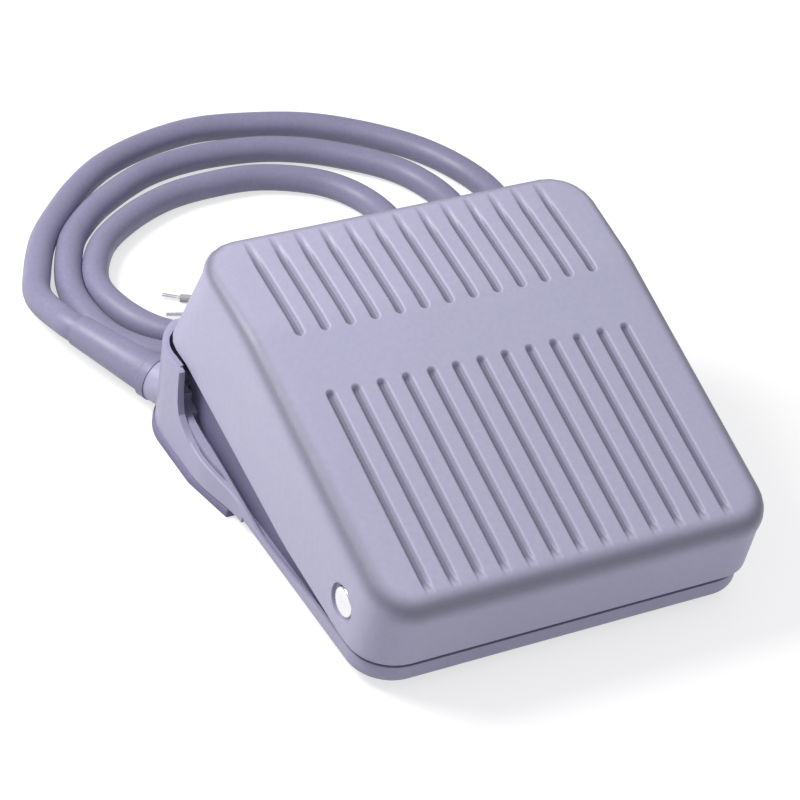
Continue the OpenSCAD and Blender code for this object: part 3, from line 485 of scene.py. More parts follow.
def insulation(name, colour, roughness=0.35):
    """Extruded insulation of a core: nearly even, a little glossy."""
    return (Finish(name, colour, roughness).mottle(120, 0.04)
            .gloss(400, roughness - 0.05, roughness + 0.1).bump(1500, 0.00002, 0.4).m)


_made = {}


def material(key):
    """The finish of that name, made once."""
    if key in _made:
        return _made[key]
    c = bpy.context.scene.switch_colours
    makers = {
        "cover": lambda: moulded("Moulded cover with painted shade", c.cover, tone=c.tone),
        "base": lambda: moulded("Moulded base", c.base),
        # Painted shade: dark colour of the guard walls, in place of the shade under the skirt
        "guard": lambda: moulded("Shaded guard", c.guard, 0.5),
        "sole": lambda: rubbery("Rubber sole", c.sole),
        "foot": lambda: rubbery("Rubber foot", (0.05, 0.05, 0.06)),
        "buffer": lambda: rubbery("Rubber buffer", (0.02, 0.02, 0.022)),
        "lead": lambda: (Finish("Jacket", c.lead, 0.45).mottle(70, 0.05).mottle(1200, 0.05, 2.0)
                         .gloss(150, 0.38, 0.55).bump(1400, 0.00003, 0.5)
                         .bump(160, 0.00008, 0.3).m),
        "pin": lambda: steel("Turned pin", c.steel, 0.22),
        "zinc": lambda: steel("Zinc plated sheet", (0.62, 0.64, 0.66), 0.35),
        "screw": lambda: steel("Zinc plated screw", (0.66, 0.67, 0.70), 0.3),
        "clip": lambda: steel("Dark spring clip", (0.12, 0.12, 0.13), 0.4),
        "wire": lambda: steel("Spring wire", (0.50, 0.51, 0.54), 0.3, (1, 1, 0.2)),
        "lever": lambda: steel("Stainless strip", (0.68, 0.69, 0.71), 0.25, (1, 0.05, 0.05)),
        "brass": lambda: steel("Brass strip", (0.72, 0.52, 0.20), 0.3),
        "bronze": lambda: steel("Bronze leaf", (0.62, 0.34, 0.16), 0.3),
        "nylon": lambda: moulded("Natural nylon", (0.72, 0.70, 0.62), 0.45),
        # Real black of the switch parts, and also the painted shadow rings in the cover's eyes
        "black": lambda: moulded("Black thermoset and painted shadow", (0.02, 0.02, 0.023), 0.38),
        "red": lambda: moulded("Red button", (0.42, 0.03, 0.02), 0.3),
        "vinyl": lambda: insulation("Red vinyl", (0.40, 0.03, 0.03)),
        "blue core": lambda: insulation("Blue insulation", (0.02, 0.06, 0.32)),
        "black core": lambda: insulation("Black insulation", (0.015, 0.015, 0.017)),
        "grey core": lambda: insulation("Grey insulation", (0.35, 0.35, 0.37)),
        "white core": lambda: insulation("White insulation", (0.72, 0.72, 0.72)),
        "tin": lambda: steel("Tinned copper", (0.78, 0.78, 0.79), 0.35),
    }
    _made[key] = makers[key]()
    return _made[key]


NODE_FINISH = {
    "base_housing": "base", "rubber_sole": "sole", "front_feet": "foot", "hinge_bushes": "nylon",
    "stop_buffers": "buffer", "rest_buffers": "buffer", "switch_bracket": "zinc",
    "bracket_screws": "screw", "switch_case": "black", "switch_side_cover": "black",
    "switch_screws": "screw", "switch_nuts": "screw", "terminal_common": "brass",
    "terminal_open": "brass", "terminal_closed": "brass", "terminal_sleeves": "vinyl",
    "lever_pin": "screw", "cord_sleeve": "lead", "lead_inner": "lead", "cord_clamp": "zinc",
    "clamp_screw": "screw", "core_common": "blue core", "core_open": "black core",
    "core_closed": "grey core", "tread_cover": "cover", "hinge_pin": "pin", "pin_clips": "clip",
    "adjusting_screw": "screw", "adjusting_nut": "screw", "return_spring": "wire",
    "switch_plunger": "red", "switch_lever": "lever", "contact_blade": "bronze", "cord": "lead",
    "cord_cores": "black core",
}


# ---------- the cover's form ----------

class CoverForm:
    """Points of the cover's outer or inner skin, drawn in by an inset.

    A skin is a grid over the treads: columns across, rows along the developed length u. In each
    corner the square of the grid is turned into a quarter disc, by taking the larger of its two
    steps as the radius and the ratio of the two as the angle. The depth below the tread is
    f - sqrt(f^2 - (f - d)^2), where d is the distance to the outline and f the fillet there.
    Below the outline, straight lines run from the rim to the foot of the cover and are cut where
    they meet the skirt's line.
    """

    def __init__(self, s, inset=0.0):
        self.s, self.inset = s, inset
        self.half, self.corner = s.width / 2, s.corner
        self.a1, self.a2 = s.front_slope, s.rear_slope
        self.u1 = s.front_length / math.cos(self.a1)
        self.u = self.u1 + s.rear_length / math.cos(self.a2)
        self.edge = np.array([HINGE[1] - s.pin_setback, s.front_height])
        self.fold = self.edge + self.u1 * np.array([math.cos(self.a1), math.sin(self.a1)])
        self.crest = self.fold + ((self.u - self.u1)
                                  * np.array([math.cos(self.a2), math.sin(self.a2)]))

    def groove_groups(self):
        """Rear end and length of the front and the rear grooves along u."""
        s = self.s
        return ((self.u1 - s.front_groove_start / math.cos(self.a1), s.front_groove),
                (self.u - s.rear_groove_start / math.cos(self.a2), s.rear_groove))

    def tread(self, u):
        """Place (y, z) and slope of the tread at developed length u; the fold is a parabola."""
        b = self.s.blend / 2
        c1, c2 = (np.array([math.cos(a), math.sin(a)]) for a in (self.a1, self.a2))
        u = np.asarray(u, float)[..., None]
        front, rear = self.fold + (u - self.u1) * c1, self.fold + (u - self.u1) * c2
        t = np.clip((u - self.u1 + b) / (2 * b), 0, 1)
        blend = ((1 - t) ** 2 * (self.fold - b * c1) + 2 * t * (1 - t) * self.fold
                 + t ** 2 * (self.fold + b * c2))
        place = np.where(t <= 0, front, np.where(t >= 1, rear, blend))
        return place, (self.a1 + (self.a2 - self.a1) * t)[..., 0]

    def fillet(self, u):
        s, c = self.s, self.corner
        f = np.interp(u, [c, self.u1, self.u - c], [s.front_fillet, s.side_fillet, s.rear_fillet])
        return np.maximum(f - self.inset, 0.8 * MM)

    def at(self, x, u, depth):
        """Points at a width x, a developed length u and a depth square to the tread."""
        place, slope = self.tread(u)
        y = place[..., 0] + np.sin(slope) * depth
        z = place[..., 1] - np.cos(slope) * depth
        return np.stack(np.broadcast_arrays(x, y, z), -1)

    def top(self, inner_x, inner_u, steps=8):
        """Grid points (x, u), the distance to the outline and the fillet for the whole top."""
        r = self.corner - self.inset
        angle = np.linspace(0, np.pi / 2, steps + 1)
        ease = 1 - np.cos(angle)
        reach = self.half - self.corner
        u_rows = np.concatenate([np.zeros(steps + 2), inner_u, np.zeros(steps + 2)])
        f_front, f_rear = self.fillet(0.0), self.fillet(self.u)
        q_front = np.concatenate([r - f_front * ease, [(r - f_front) / 2]])
        q_rear = np.concatenate([r - f_rear * ease, [(r - f_rear) / 2]])
        u_rows[:steps + 2] = self.corner - q_front
        u_rows[-(steps + 2):] = (self.u - self.corner + q_rear)[::-1]
        f = self.fillet(u_rows)[:, None]
        p = np.concatenate([r - f * ease[None], (r - f) / 2], 1)
        x_mid = np.broadcast_to(inner_x, (len(u_rows), len(inner_x)))
        x = np.concatenate([-(reach + p), x_mid, (reach + p)[:, ::-1]], 1)
        u = np.broadcast_to(u_rows[:, None], x.shape).copy()
        across = np.maximum(np.abs(x) - reach, 0)
        back = np.maximum(np.maximum(self.corner - u, u - (self.u - self.corner)), 0)
        radius = np.maximum(across, back)
        in_corner = (across > 0) & (back > 0)
        turn = np.where(across >= back, back / np.maximum(across, 1e-12) * np.pi / 4,
                        np.pi / 2 - across / np.maximum(back, 1e-12) * np.pi / 4)
        side, end = np.sign(x), np.where(u < self.u / 2, -1, 1)
        x = np.where(in_corner, side * (reach + radius * np.cos(turn)), x)
        centre = np.where(u < self.u / 2, self.corner, self.u - self.corner)
        u = np.where(in_corner, centre + end * radius * np.sin(turn), u)
        d = r - radius
        f = np.broadcast_to(f, x.shape)
        drop = f - np.sqrt(np.maximum(f ** 2 - np.maximum(f - d, 0) ** 2, 0))
        return x, u, drop, np.arccos(np.clip(1 - drop / f, 0, 1)) / (np.pi / 2)

    def grooves(self, x, u):
        """Depth of the grooves: a smooth step across the edge of each round-ended slot."""
        s = self.s
        n = (s.groove_count - 1) / 2
        c = np.clip(np.round(x / s.groove_pitch), -n, n) * s.groove_pitch
        soft = GROOVE_SOFT
        depth = np.zeros_like(x)
        for top, long in self.groove_groups():
            low, high = top - long + s.groove_width / 2, top - s.groove_width / 2
            off = np.hypot(x - c, u - np.clip(u, low, high))
            t = np.clip((s.groove_width / 2 + soft - off) / (2 * soft), 0, 1)
            depth = np.maximum(depth, s.groove_depth * t * t * (3 - 2 * t))
        return depth

    def skirt(self, y):
        """Height of the skirt's lower edge: level at the front, then two rising lines."""
        low = self.s.skirt_height
        hinge, rear = HINGE[1], BASE_HIGH[1]
        return np.interp(y, [hinge - MM, hinge + 23 * MM, rear - 18 * MM, rear + 10 * MM],
                         [low, low + 3.1 * MM, low + 13.9 * MM, low + 15.9 * MM])

    def wall(self, rim_x, rim_u):
        """Points at the knee below the fillet and at the skirt, for a loop of rim points."""
        s, c, w = self.s, self.corner, self.inset
        knee = self.at(rim_x, rim_u, w + np.interp(rim_u, [c, self.u - c], [6 * MM, 5 * MM]))
        low = s.skirt_height - 2 * MM - w
        rear_low = s.skirt_height + 9.9 * MM - w
        foot = self.edge[0] + s.undercut
        rear_foot = self.crest[0] + (self.crest[1] - rear_low) * math.tan(s.rear_lean)
        reach = self.half - c
        side, r = np.sign(rim_x), c - w
        front, rear = rim_u < c, rim_u > self.u - c
        turn = np.arctan2(np.where(front, c - rim_u, rim_u - (self.u - c)),
                          np.maximum(np.abs(rim_x) - reach, 1e-12))
        g = np.clip((rim_u - c) / (self.u - 2 * c), 0, 1)
        x = np.where(front | rear, side * (reach + r * np.cos(turn)), side * (self.half - w))
        x = np.where(np.abs(rim_x) <= reach, rim_x, x)
        y = foot + c + g * (rear_foot - foot - 2 * c)
        y = y + np.where(front, -r * np.sin(turn), np.where(rear, r * np.sin(turn), 0))
        z = low + g * (rear_low + MM - low)
        toe = np.stack([x, y, z], -1)
        t0, t1 = np.zeros(len(x)), np.ones(len(x))
        for _ in range(40):
            t = (t0 + t1) / 2
            p = knee + t[:, None] * (toe - knee)
            above = p[:, 2] > self.skirt(p[:, 1])
            t0, t1 = np.where(above, t, t0), np.where(above, t1, t)
        toe = knee + t0[:, None] * (toe - knee)
        return knee, toe


def perimeter(rows, cols):
    """Indices of a grid's outer loop of points, once round."""
    k = np.arange(rows * cols).reshape(rows, cols)
    return np.concatenate([k[0, :-1], k[:-1, -1], k[-1, :0:-1], k[:0:-1, 0]])


# Half the width of the soft step at a groove's edge
GROOVE_SOFT = 0.32 * MM
# Grid lines beside a groove's middle, and past the centre of its round ends
GROOVE_COLUMNS = np.array([0, 0.4, 0.55, 0.68, 0.8, 0.92, 1.05, 1.2, 1.5]) * MM
GROOVE_ROWS = np.array([-0.5, 0, 0.25, 0.45, 0.6, 0.72, 0.84, 0.96, 1.1, 1.3]) * MM


def cover_shell(s):
    """The whole cover as one closed skin: outer treads, wall, rounded rim, inner wall, ceiling.

    It gives its parts, and each point's share of the painted shade: a bell curve of the way down
    the fillet, for the shade along the edges, and the depth of the grooves, for the shade in them.
    """
    outer, inner = CoverForm(s), CoverForm(s, s.wall)
    half_w = s.groove_width / 2
    offsets = np.concatenate([-GROOVE_COLUMNS[:0:-1], GROOVE_COLUMNS])
    n = (s.groove_count - 1) // 2
    reach = s.width / 2 - s.corner
    columns = [k * s.groove_pitch + offsets for k in range(-n, n + 1)]
    inner_x = np.unique(np.round(np.concatenate(
        [*columns, np.arange(-n, n) * s.groove_pitch + s.groove_pitch / 2, [-reach, reach]]), 7))
    inner_x = inner_x[np.abs(inner_x) <= reach + 1e-7]
    ends = []
    for top, long in outer.groove_groups():
        ends += [top - half_w + GROOVE_ROWS, top - long + half_w - GROOVE_ROWS]
    rows = np.concatenate([*ends, np.arange(s.corner, outer.u - s.corner, 3 * MM),
                           outer.u1 + s.blend * np.linspace(-0.5, 0.5, 7),
                           [s.corner, outer.u - s.corner]])
    rows = np.unique(np.round(rows, 6))
    rows = rows[(rows >= s.corner - 1e-7) & (rows <= outer.u - s.corner + 1e-7)]
    rows = rows[np.concatenate([[True], np.diff(rows) > 0.07 * MM])]
    skins, shade_shares = [], []
    for form in (outer, inner):
        x, u, drop, share_down = form.top(inner_x, rows)
        carve = form.grooves(x, u) if form is outer else 0 * x
        # Painted shade: darkest halfway down the fillet, and in the grooves by their depth
        edge = np.exp(-((share_down - 0.5) / 0.3) ** 2)
        shade_shares.append(np.maximum(edge, 0.8 * carve / s.groove_depth))
        top = form.at(x, u, form.inset + drop + carve)
        loop = perimeter(*x.shape)
        knee, toe = form.wall(x.ravel()[loop], u.ravel()[loop])
        skins.append((top, knee, toe, loop, x.shape))
    (top, knee, toe, loop, shape), (top_in, knee_in, toe_in, _, _) = skins
    fall = (toe - knee) / np.linalg.norm(toe - knee, axis=1, keepdims=True)
    across = toe_in - toe
    across /= np.linalg.norm(across, axis=1, keepdims=True)
    r = 0.45 * MM
    a = np.linspace(0, np.pi / 2, 5)[:, None, None]
    outer_round = toe + fall * -r * (1 - np.sin(a)) + across * r * (1 - np.cos(a))
    a = a[::-1]
    inner_round = toe_in + fall * -r * (1 - np.sin(a)) - across * r * (1 - np.cos(a))
    t = np.linspace(0, 1, 9)[1:-1, None, None]
    wall_rows = [top.reshape(-1, 3)[loop][None], knee[None], knee + t * (outer_round[0] - knee),
                 outer_round, inner_round, knee_in + t[::-1] * (inner_round[-1] - knee_in),
                 knee_in[None], top_in.reshape(-1, 3)[loop][None]]
    wall = np.concatenate(wall_rows)
    parts = [(top, grid_faces(*shape)), (wall, grid_faces(len(wall), len(loop), closed=True)),
             (top_in, grid_faces(*shape))]
    # Painted shade on the wall only in its top row, where it joins the fillet
    wall_shade = np.zeros((len(wall), len(loop)))
    wall_shade[0] = shade_shares[0].ravel()[loop]
    return parts, [shade_shares[0].ravel(), wall_shade.ravel(), np.zeros(top_in.size // 3)]


def cover_bosses(s):
    """Bosses of the pin, spring and adjusting screw, and the webs of the stops, under the tread."""
    form = CoverForm(s, s.wall)
    u = np.linspace(0, form.u, 200)
    roof = form.at(0.0, u, s.wall)

    def ceiling(y):
        rear = form.crest[1] - (y - form.crest[0] + 0.6 * s.wall) / math.tan(s.rear_lean)
        return min(float(np.interp(y, roof[:, 1], roof[:, 2])), rear)

    half, soft = s.width / 2, 0.3 * MM
    parts = []
    for side in (-1, 1):
        inner, root, outer = half - 3.2 * MM, half - s.wall / 2, PIN_RADIUS + 3 * MM
        parts.append(lathe([(PIN_RADIUS, inner), (outer - soft, inner), (outer, inner + soft),
                            (outer, root), (PIN_RADIUS, root)],
                           HINGE, (side, 0, 0), 48, looped=True))
        low, high = (np.array(v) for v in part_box("stop_buffers"))
        y, x = (low[1] + high[1]) / 2, side * 20 * MM
        face = high[2] + 0.6 * MM + (y - HINGE[1]) * math.sin(TRAVEL)
        y0, y1 = y - 2.5 * MM, y + 2.5 * MM
        run = np.linspace(y1, y0, 9)
        parts.append(prism([(y0, face), (y1, face), *[(k, ceiling(k)) for k in run]],
                           x - 1.5 * MM, x + 1.5 * MM))
        y0, y1 = HINGE[1] - 8.5 * MM, HINGE[1] - 3.6 * MM
        wall = form.edge[0] + 4.6 * MM
        x = side * 22 * MM
        parts.append(prism([(y0, 6 * MM), (y1, 6 * MM), (y1, ceiling(y1)), (wall, ceiling(wall)),
                            (wall, 9 * MM), (y0, 9 * MM)], x - 2 * MM, x + 2 * MM))
    y = (SPRING_LOW[1] + SPRING_HIGH[1]) / 2
    seat, r, top = SPRING_HIGH[2], 6.5 * MM, ceiling(y) + 0.2 * MM
    parts.append(lathe([(0, seat - 4 * MM), (3.5 * MM, seat - 4 * MM), (3.8 * MM, seat - 3.7 * MM),
                        (3.8 * MM, seat), (r - soft, seat), (r, seat + soft), (r, top), (0, top)],
                       (0, y, 0), (0, 0, 1)))
    low, high = (np.array(v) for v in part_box("adjusting_nut"))
    screw = np.array(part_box("adjusting_screw")[1])
    x, y = (low[:2] + high[:2]) / 2
    top = ceiling(y)
    core, r = 2 * MM, 4.6 * MM
    parts.append(lathe([(0, screw[2]), (core, screw[2]), (core, high[2]), (r - soft, high[2]),
                        (r, high[2] + soft), (r, top), (0, top)], (x, y, 0), (0, 0, 1)))
    return parts


# ---------- the base's form ----------

def base_outline(inset, y_end, steps=10):
    """Points (x, y) once round the front of the base: a side, two round corners, a side."""
    half, front = BASE_FRONT_HALF - inset, BASE_LOW[1] + inset
    r = BASE_CORNER - inset
    a = np.linspace(0, np.pi / 2, steps)
    corner = np.stack([half - r + r * np.cos(a), front + r - r * np.sin(a)], 1)
    run = np.linspace(y_end, front + r, 24)[:-1]
    side = np.stack([np.full(len(run), half), run], 1)
    right = np.vstack([side, corner])
    return np.vstack([right, (right * (-1, 1))[::-1]])


def wall_top(y):
    """Height of the base wall's top: level, a shallow dip, then a rise to the rear."""
    level = BASE_LOW[2] + 5.15 * MM
    rear = BASE_HIGH[1] - 19.9 * MM
    return np.interp(y, [HINGE[1] + 10 * MM, HINGE[1] + 27 * MM, HINGE[1] + 33 * MM, rear],
                     [level, level - 1.05 * MM, level - 1.05 * MM, BASE_LOW[2] + 10.2 * MM])


def wall_trim():
    """Ring along the top of the base wall, whose removal leaves a thin outer lip.

    It opens a dark line under the cover's skirt. The ring is the outline swept with a stepped
    section: a lowered top over the lip, and a channel behind it down to just above the floor.
    """
    y_end = BASE_HIGH[1] - 19.5 * MM
    y = base_outline(0, y_end)[:, 1]
    drop = MM * np.interp(y, [HINGE[1], HINGE[1] + 50 * MM, y_end - MM, y_end],
                          [0.8, 1.3, 1.9, 1.2])
    low = wall_top(y) - drop
    deep = np.maximum(low - 2 * MM, BASE_LOW[2] + 2.3 * MM)
    high = wall_top(y) + 0.5 * MM
    section = [(2.6, deep), (0.7, deep), (0.7, low), (-0.6, low), (-0.6, high), (2.6, high)]
    return swept(section, lambda i, z: (base_outline(i * MM, y_end), z))


def guard_walls(s):
    """Walls inside the cover's sides that close the wedge under its raised skirt, in a dark colour
    that is painted shade.
    """
    out = s.width / 2 - s.wall - 0.4 * MM
    start, knee = HINGE[1] + 8.2 * MM, HINGE[1] + 23 * MM
    floor, low = BASE_LOW[2] + 2 * MM, s.skirt_height
    rear = BASE_HIGH[1] - 15.6 * MM
    outline = [(start, floor), (start, low + 3 * MM), (knee, low + 5.3 * MM),
               (rear, low + 16.1 * MM), (rear, floor)]
    return [prism(outline, *sorted((side * out, side * (out - 1.6 * MM)))) for side in (-1, 1)]


def flare_rims():
    """Raised rims along the flared rear ends of the side walls, with a slot between rim and wall.

    Each is a section swept in y: it moves outwards by a smooth step of y, and its top rises.
    """
    y = np.linspace(BASE_HIGH[1] - 45 * MM, BASE_HIGH[1] - 18.2 * MM, 40)
    t = np.clip((y - y[0]) / (16 * MM), 0, 1)
    out = BASE_FRONT_HALF + (BASE_HIGH[0] - BASE_FRONT_HALF + 0.05 * MM) * t * t * (3 - 2 * t)
    top = BASE_LOW[2] + np.interp(y, [y[0], y[0] + 12 * MM, y[-1] - 7 * MM, y[-1]],
                                  [3.9, 5.9, 7.0, 8.6]) * MM
    floor = np.full(len(y), BASE_LOW[2] + 0.4 * MM)
    soft = 0.3 * MM
    inner = np.full(len(y), BASE_FRONT_HALF - 0.6 * MM)
    slot = np.maximum(out - 1.1 * MM, inner + 0.2 * MM)
    wall = np.maximum(slot - 0.45 * MM, inner + 0.1 * MM)
    section = [(inner, floor), (out, floor), (out, top - soft), (out - soft, top), (slot, top),
               (slot, top - 1.2 * MM), (wall, top - 1.2 * MM), (wall, top + 0.5 * MM),
               (inner, top + 0.5 * MM)]
    return [swept(section, lambda x, z: (side * x, y, z)) for side in (-1, 1)]


def collar_curve():
    """Side line (y, z) of the collar's front end: out of the side wall and up in one curve."""
    face, low = BASE_HIGH[1] - 18.9 * MM, BASE_LOW[2]
    return np.array([(face - 9 * MM, low + 6.3 * MM), (face - 6 * MM, low + 7 * MM),
                     (face - 3.6 * MM, low + 8 * MM), (face - 1.4 * MM, low + 9.6 * MM),
                     (face - 0.4 * MM, low + 12 * MM), (face, low + 15 * MM),
                     (face + 0.3 * MM, low + 18.4 * MM), (face + 0.8 * MM, low + 19.05 * MM)])


def collar_room(s):
    """Blocks whose removal clears the seats between the collar's ends and the side walls."""
    curve, top = collar_curve(), BASE_HIGH[2] + 5 * MM
    outline = [*curve[:3], (curve[-1, 0] + 1.6 * MM, curve[3, 1]), (curve[-1, 0] + 1.6 * MM, top),
               (curve[0, 0], top)]
    inner, outer = BASE_FRONT_HALF - 2.6 * MM, s.width / 2 + 0.43 * MM
    return [prism(outline, *sorted((side * inner, side * outer))) for side in (-1, 1)]


def collar_fairings(s):
    """Curved ends of the collar, and the lips that bring its inner face close to the cover."""
    curve = collar_curve()
    rear = curve[-1, 0] + 3 * MM
    skin = [*curve, (rear, curve[-1, 1]), (rear, BASE_LOW[2] + MM), (curve[0, 0], BASE_LOW[2] + MM)]
    inner, outer = s.width / 2 + 0.45 * MM, BASE_HIGH[0] + 0.04 * MM
    r = 12.7 * MM
    centre = BASE_HIGH[:2] - BASE_REAR_CORNER
    a = np.radians(np.linspace(0, 62, 24))
    arc = centre + r * np.stack([np.cos(a), np.sin(a)], 1)
    run = np.linspace(rear - 2 * MM, centre[1], 7)[:-1]
    side_run = np.stack([np.full(len(run), centre[0] + r), run], 1)
    normal = np.vstack([np.tile([1.0, 0], (len(run), 1)), np.stack([np.cos(a), np.sin(a)], 1)])
    round_thick = np.interp(np.degrees(a), [0, 15, 30, 45, 62], [0.34, 0.06, 0.1, 0.6, 0.9])
    thick = np.concatenate([np.full(len(run), 0.34), round_thick]) * MM
    face = np.vstack([side_run, arc])
    top, low = BASE_HIGH[2] - 0.15 * MM, BASE_HIGH[2] - 1.6 * MM
    root, lip = face + normal * 0.3 * MM, face - normal * thick[:, None]
    parts = []
    for side in (-1, 1):
        parts.append(prism(skin, *sorted((side * inner, side * outer))))
        parts.append(swept([(root, top), (lip, top), (lip, low), (root, low)],
                           lambda p, z: (p * (side, 1), np.full(len(p), z))))
    return parts


# ---------- operators ----------

class BuildStage(bpy.types.Operator):
    """Camera, floor, backdrop light and lamps"""
    bl_idname = "footswitch.stage"
    bl_label = "Stage"

    def execute(self, context):
        make_camera(context)
        make_floor()
        make_lights(context)
        return {"FINISHED"}


# Camera: place in metres, turn about Z, height above level and roll in radians, lens in mm
CAMERA_PLACE = (-0.295388, -0.418153, 0.405984)
CAMERA_TURN = -0.59231
CAMERA_HEIGHT = 0.642164
CAMERA_ROLL = 0.15434
CAMERA_LENS = 145.94
# Strength of the floor's own white, and of the world as light
FLOOR_GLOW = 0.66
WORLD_LIGHT = 0.53
# Lamps: name, place, point looked at, size, power in watts, colour
LAMPS = [
    ("key", (-0.27, 0.16, 0.34), (0, 0, 0.03), 0.2, 1.8, (1.0, 0.99, 0.98)),
    ("front fill", (0.12, -0.5, 0.03), (0, 0, 0.02), 0.3, 0.55, (0.97, 0.97, 1.0)),
]


def make_camera(context):
    """Camera given by its azimuth, elevation and roll."""
    a, e, roll = CAMERA_TURN, CAMERA_HEIGHT, CAMERA_ROLL
    back = Vector((math.sin(a) * math.cos(e), -math.cos(a) * math.cos(e), math.sin(e)))
    right = Vector((math.cos(a), math.sin(a), 0))
    up = back.cross(right)
    right, up = (math.cos(roll) * right + math.sin(roll) * up,
                 math.cos(roll) * up - math.sin(roll) * right)
    data = bpy.data.cameras.new("camera")
    data.lens = CAMERA_LENS
    data.sensor_width = 36
    data.clip_start = 0.01
    data.clip_end = 20
    camera = new_object("camera", data)
    turn = Matrix((right, up, back)).transposed().to_4x4()
    camera.matrix_world = Matrix.Translation(CAMERA_PLACE) @ turn
    context.scene.camera = camera


def ray_is_one_of(tree, *kinds):
    """1 for a light ray of either of two kinds, otherwise 0."""
    path = tree.nodes.new("ShaderNodeLightPath")
    either = tree.nodes.new("ShaderNodeMath")
    either.operation = "MAXIMUM"
    for kind, socket in zip(kinds, either.inputs):
        tree.links.new(path.outputs[kind], socket)
    return either.outputs[0]


def make_floor():
    """Plain white floor: it shows white and keeps a soft shadow."""
    w = 3.0
    mesh = new_mesh("floor", [([(-w, -w, 0), (w, -w, 0), (w, w, 0), (-w, w, 0)], [(0, 1, 2, 3)])])
    floor = new_object("floor", mesh)
    f = Finish("White floor", (0.45, 0.45, 0.45), 0.9, specular=0.0)
    tree = f.tree
    glow = tree.nodes.new("ShaderNodeEmission")
    add = tree.nodes.new("ShaderNodeAddShader")
    seen = ray_is_one_of(tree, "Is Camera Ray", "Is Glossy Ray")
    f.link(f.ramp(seen, 0, FLOOR_GLOW), glow.inputs["Strength"])
    f.link(f.bsdf.outputs[0], add.inputs[0])
    f.link(glow.outputs[0], add.inputs[1])
    f.link(add.outputs[0], tree.nodes["Material Output"].inputs["Surface"])
    mesh.materials.append(f.m)


def make_lights(context):
    """World light, seen as white by the camera, and the lamps."""
    world = bpy.data.worlds.new("World")
    context.scene.world = world
    world.use_nodes = True
    tree = world.node_tree
    sky = tree.nodes["Background"]
    sky.inputs["Color"].default_value = (0.96, 0.965, 1, 1)
    level = tree.nodes.new("ShaderNodeMapRange")
    level.inputs["To Min"].default_value = WORLD_LIGHT
    level.inputs["To Max"].default_value = 1.0
    seen = ray_is_one_of(tree, "Is Camera Ray", "Is Transmission Ray")
    tree.links.new(seen, level.inputs["Value"])
    tree.links.new(level.outputs["Result"], sky.inputs["Strength"])
    for name, place, target, size, power, tint in LAMPS:
        data = bpy.data.lights.new(name, "AREA")
        data.shape = "DISK"
        data.size = size
        data.energy = power
        data.color = tint
        lamp = new_object(name, data)
        lamp.location = place
        lamp.rotation_euler = (Vector(target) - Vector(place)).to_track_quat("-Z", "Y").to_euler()


class BuildLead(bpy.types.Operator):
    """Free lead, from its sleeve to its bared end"""
    bl_idname = "footswitch.lead"
    bl_label = "Lead"

    def execute(self, context):
        s = context.scene.switch_lead
        exit_point, heading = lead_exit()
        tip = exit_point + heading * SLEEVE_TIP
        route = np.vstack([tip, tip + heading * 4 * MM, ROUTE])
        path = smooth_path(route, 1.6 * MM)
        cord = add_piece("lead", [tube(path, s.diameter / 2, s.sides)], material("lead"), "base",
                         ["cord"])
        bared_cores(path[-1], path[-1] - path[-8])
        return {"FINISHED"}


def bared_cores(end, way):
    """Three cores that fan out of the jacket's end down to the ground, with tinned tips."""
    way = way / np.linalg.norm(way)
    across = np.array([-way[1], way[0], 0])
    up = np.array([0, 0, MM])
    pieces = []
    for k, key, slot in ((-1, "grey core", "core_grey"), (0, "white core", "core_grey"),
                         (1, "blue core", "core_blue")):
        start = end + across * k * 1.9 * MM - abs(k) * 0.5 * up
        bend = start + way * 6 * MM + across * k * 1.5 * MM - 0.6 * up
        tip = end + way * 14 * MM + across * k * 6 * MM - 2.1 * up
        path = smooth_path([start - way * MM, start + way * MM, bend, tip], 0.5 * MM)
        bare = tip + (tip - path[-4]) / np.linalg.norm(tip - path[-4]) * 4 * MM * (1, 1, 0)
        wire = np.linspace(tip - (bare - tip) * 0.1, bare, 5)
        for name, line, r, sides, finish in (("core", path, 0.9 * MM, 16, key),
                                             ("tinned_tip", wire, 0.5 * MM, 12, "tin")):
            pieces.append(add_piece(f"{name}_{k + 2}", [tube(line, r, sides)], material(finish),
                                    "base"))
    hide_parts("cord_cores")
    return pieces


def lead_exit():
    """Middle of the exit in the rear left corner, and the way the lead leaves."""
    r = BASE_REAR_CORNER
    corner = np.array([r - BASE_HIGH[0], BASE_HIGH[1] - r])
    x, y = corner + r * np.array([math.cos(EXIT_AT), math.sin(EXIT_AT)])
    heading = np.array([math.cos(EXIT_HEADING), math.sin(EXIT_HEADING), 0])
    return np.array([x, y, EXIT_HEIGHT]), heading


# Width of the recess round the pin's end in the cover
EYE_WIDTH = 1.1 * MM


class BuildCover(bpy.types.Operator):
    """Ribbed tread cover with the bosses and webs inside it"""
    bl_idname = "footswitch.cover"
    bl_label = "Tread cover"

    def execute(self, context):
        s = context.scene.switch_cover
        parts, marks = cover_shell(s)
        shell = add_piece("cover_shell", parts, material("cover"), "cover",
                          ["tread_cover"], 50, marks)
        half, r, eye = s.width / 2, PIN_RADIUS, PIN_RADIUS + EYE_WIDTH
        profile = [(0, half - 5 * MM), (r, half - 5 * MM), (r, half - 0.8 * MM),
                   (eye, half - 0.6 * MM), (eye + 0.1 * MM, half + MM), (0, half + MM)]
        cut(shell, [lathe(profile, HINGE, (side, 0, 0), 64) for side in (-1, 1)])
        shade(shell.data, 50)
        add_piece("cover_bosses", cover_bosses(s), material("cover"), "cover")
        return {"FINISHED"}


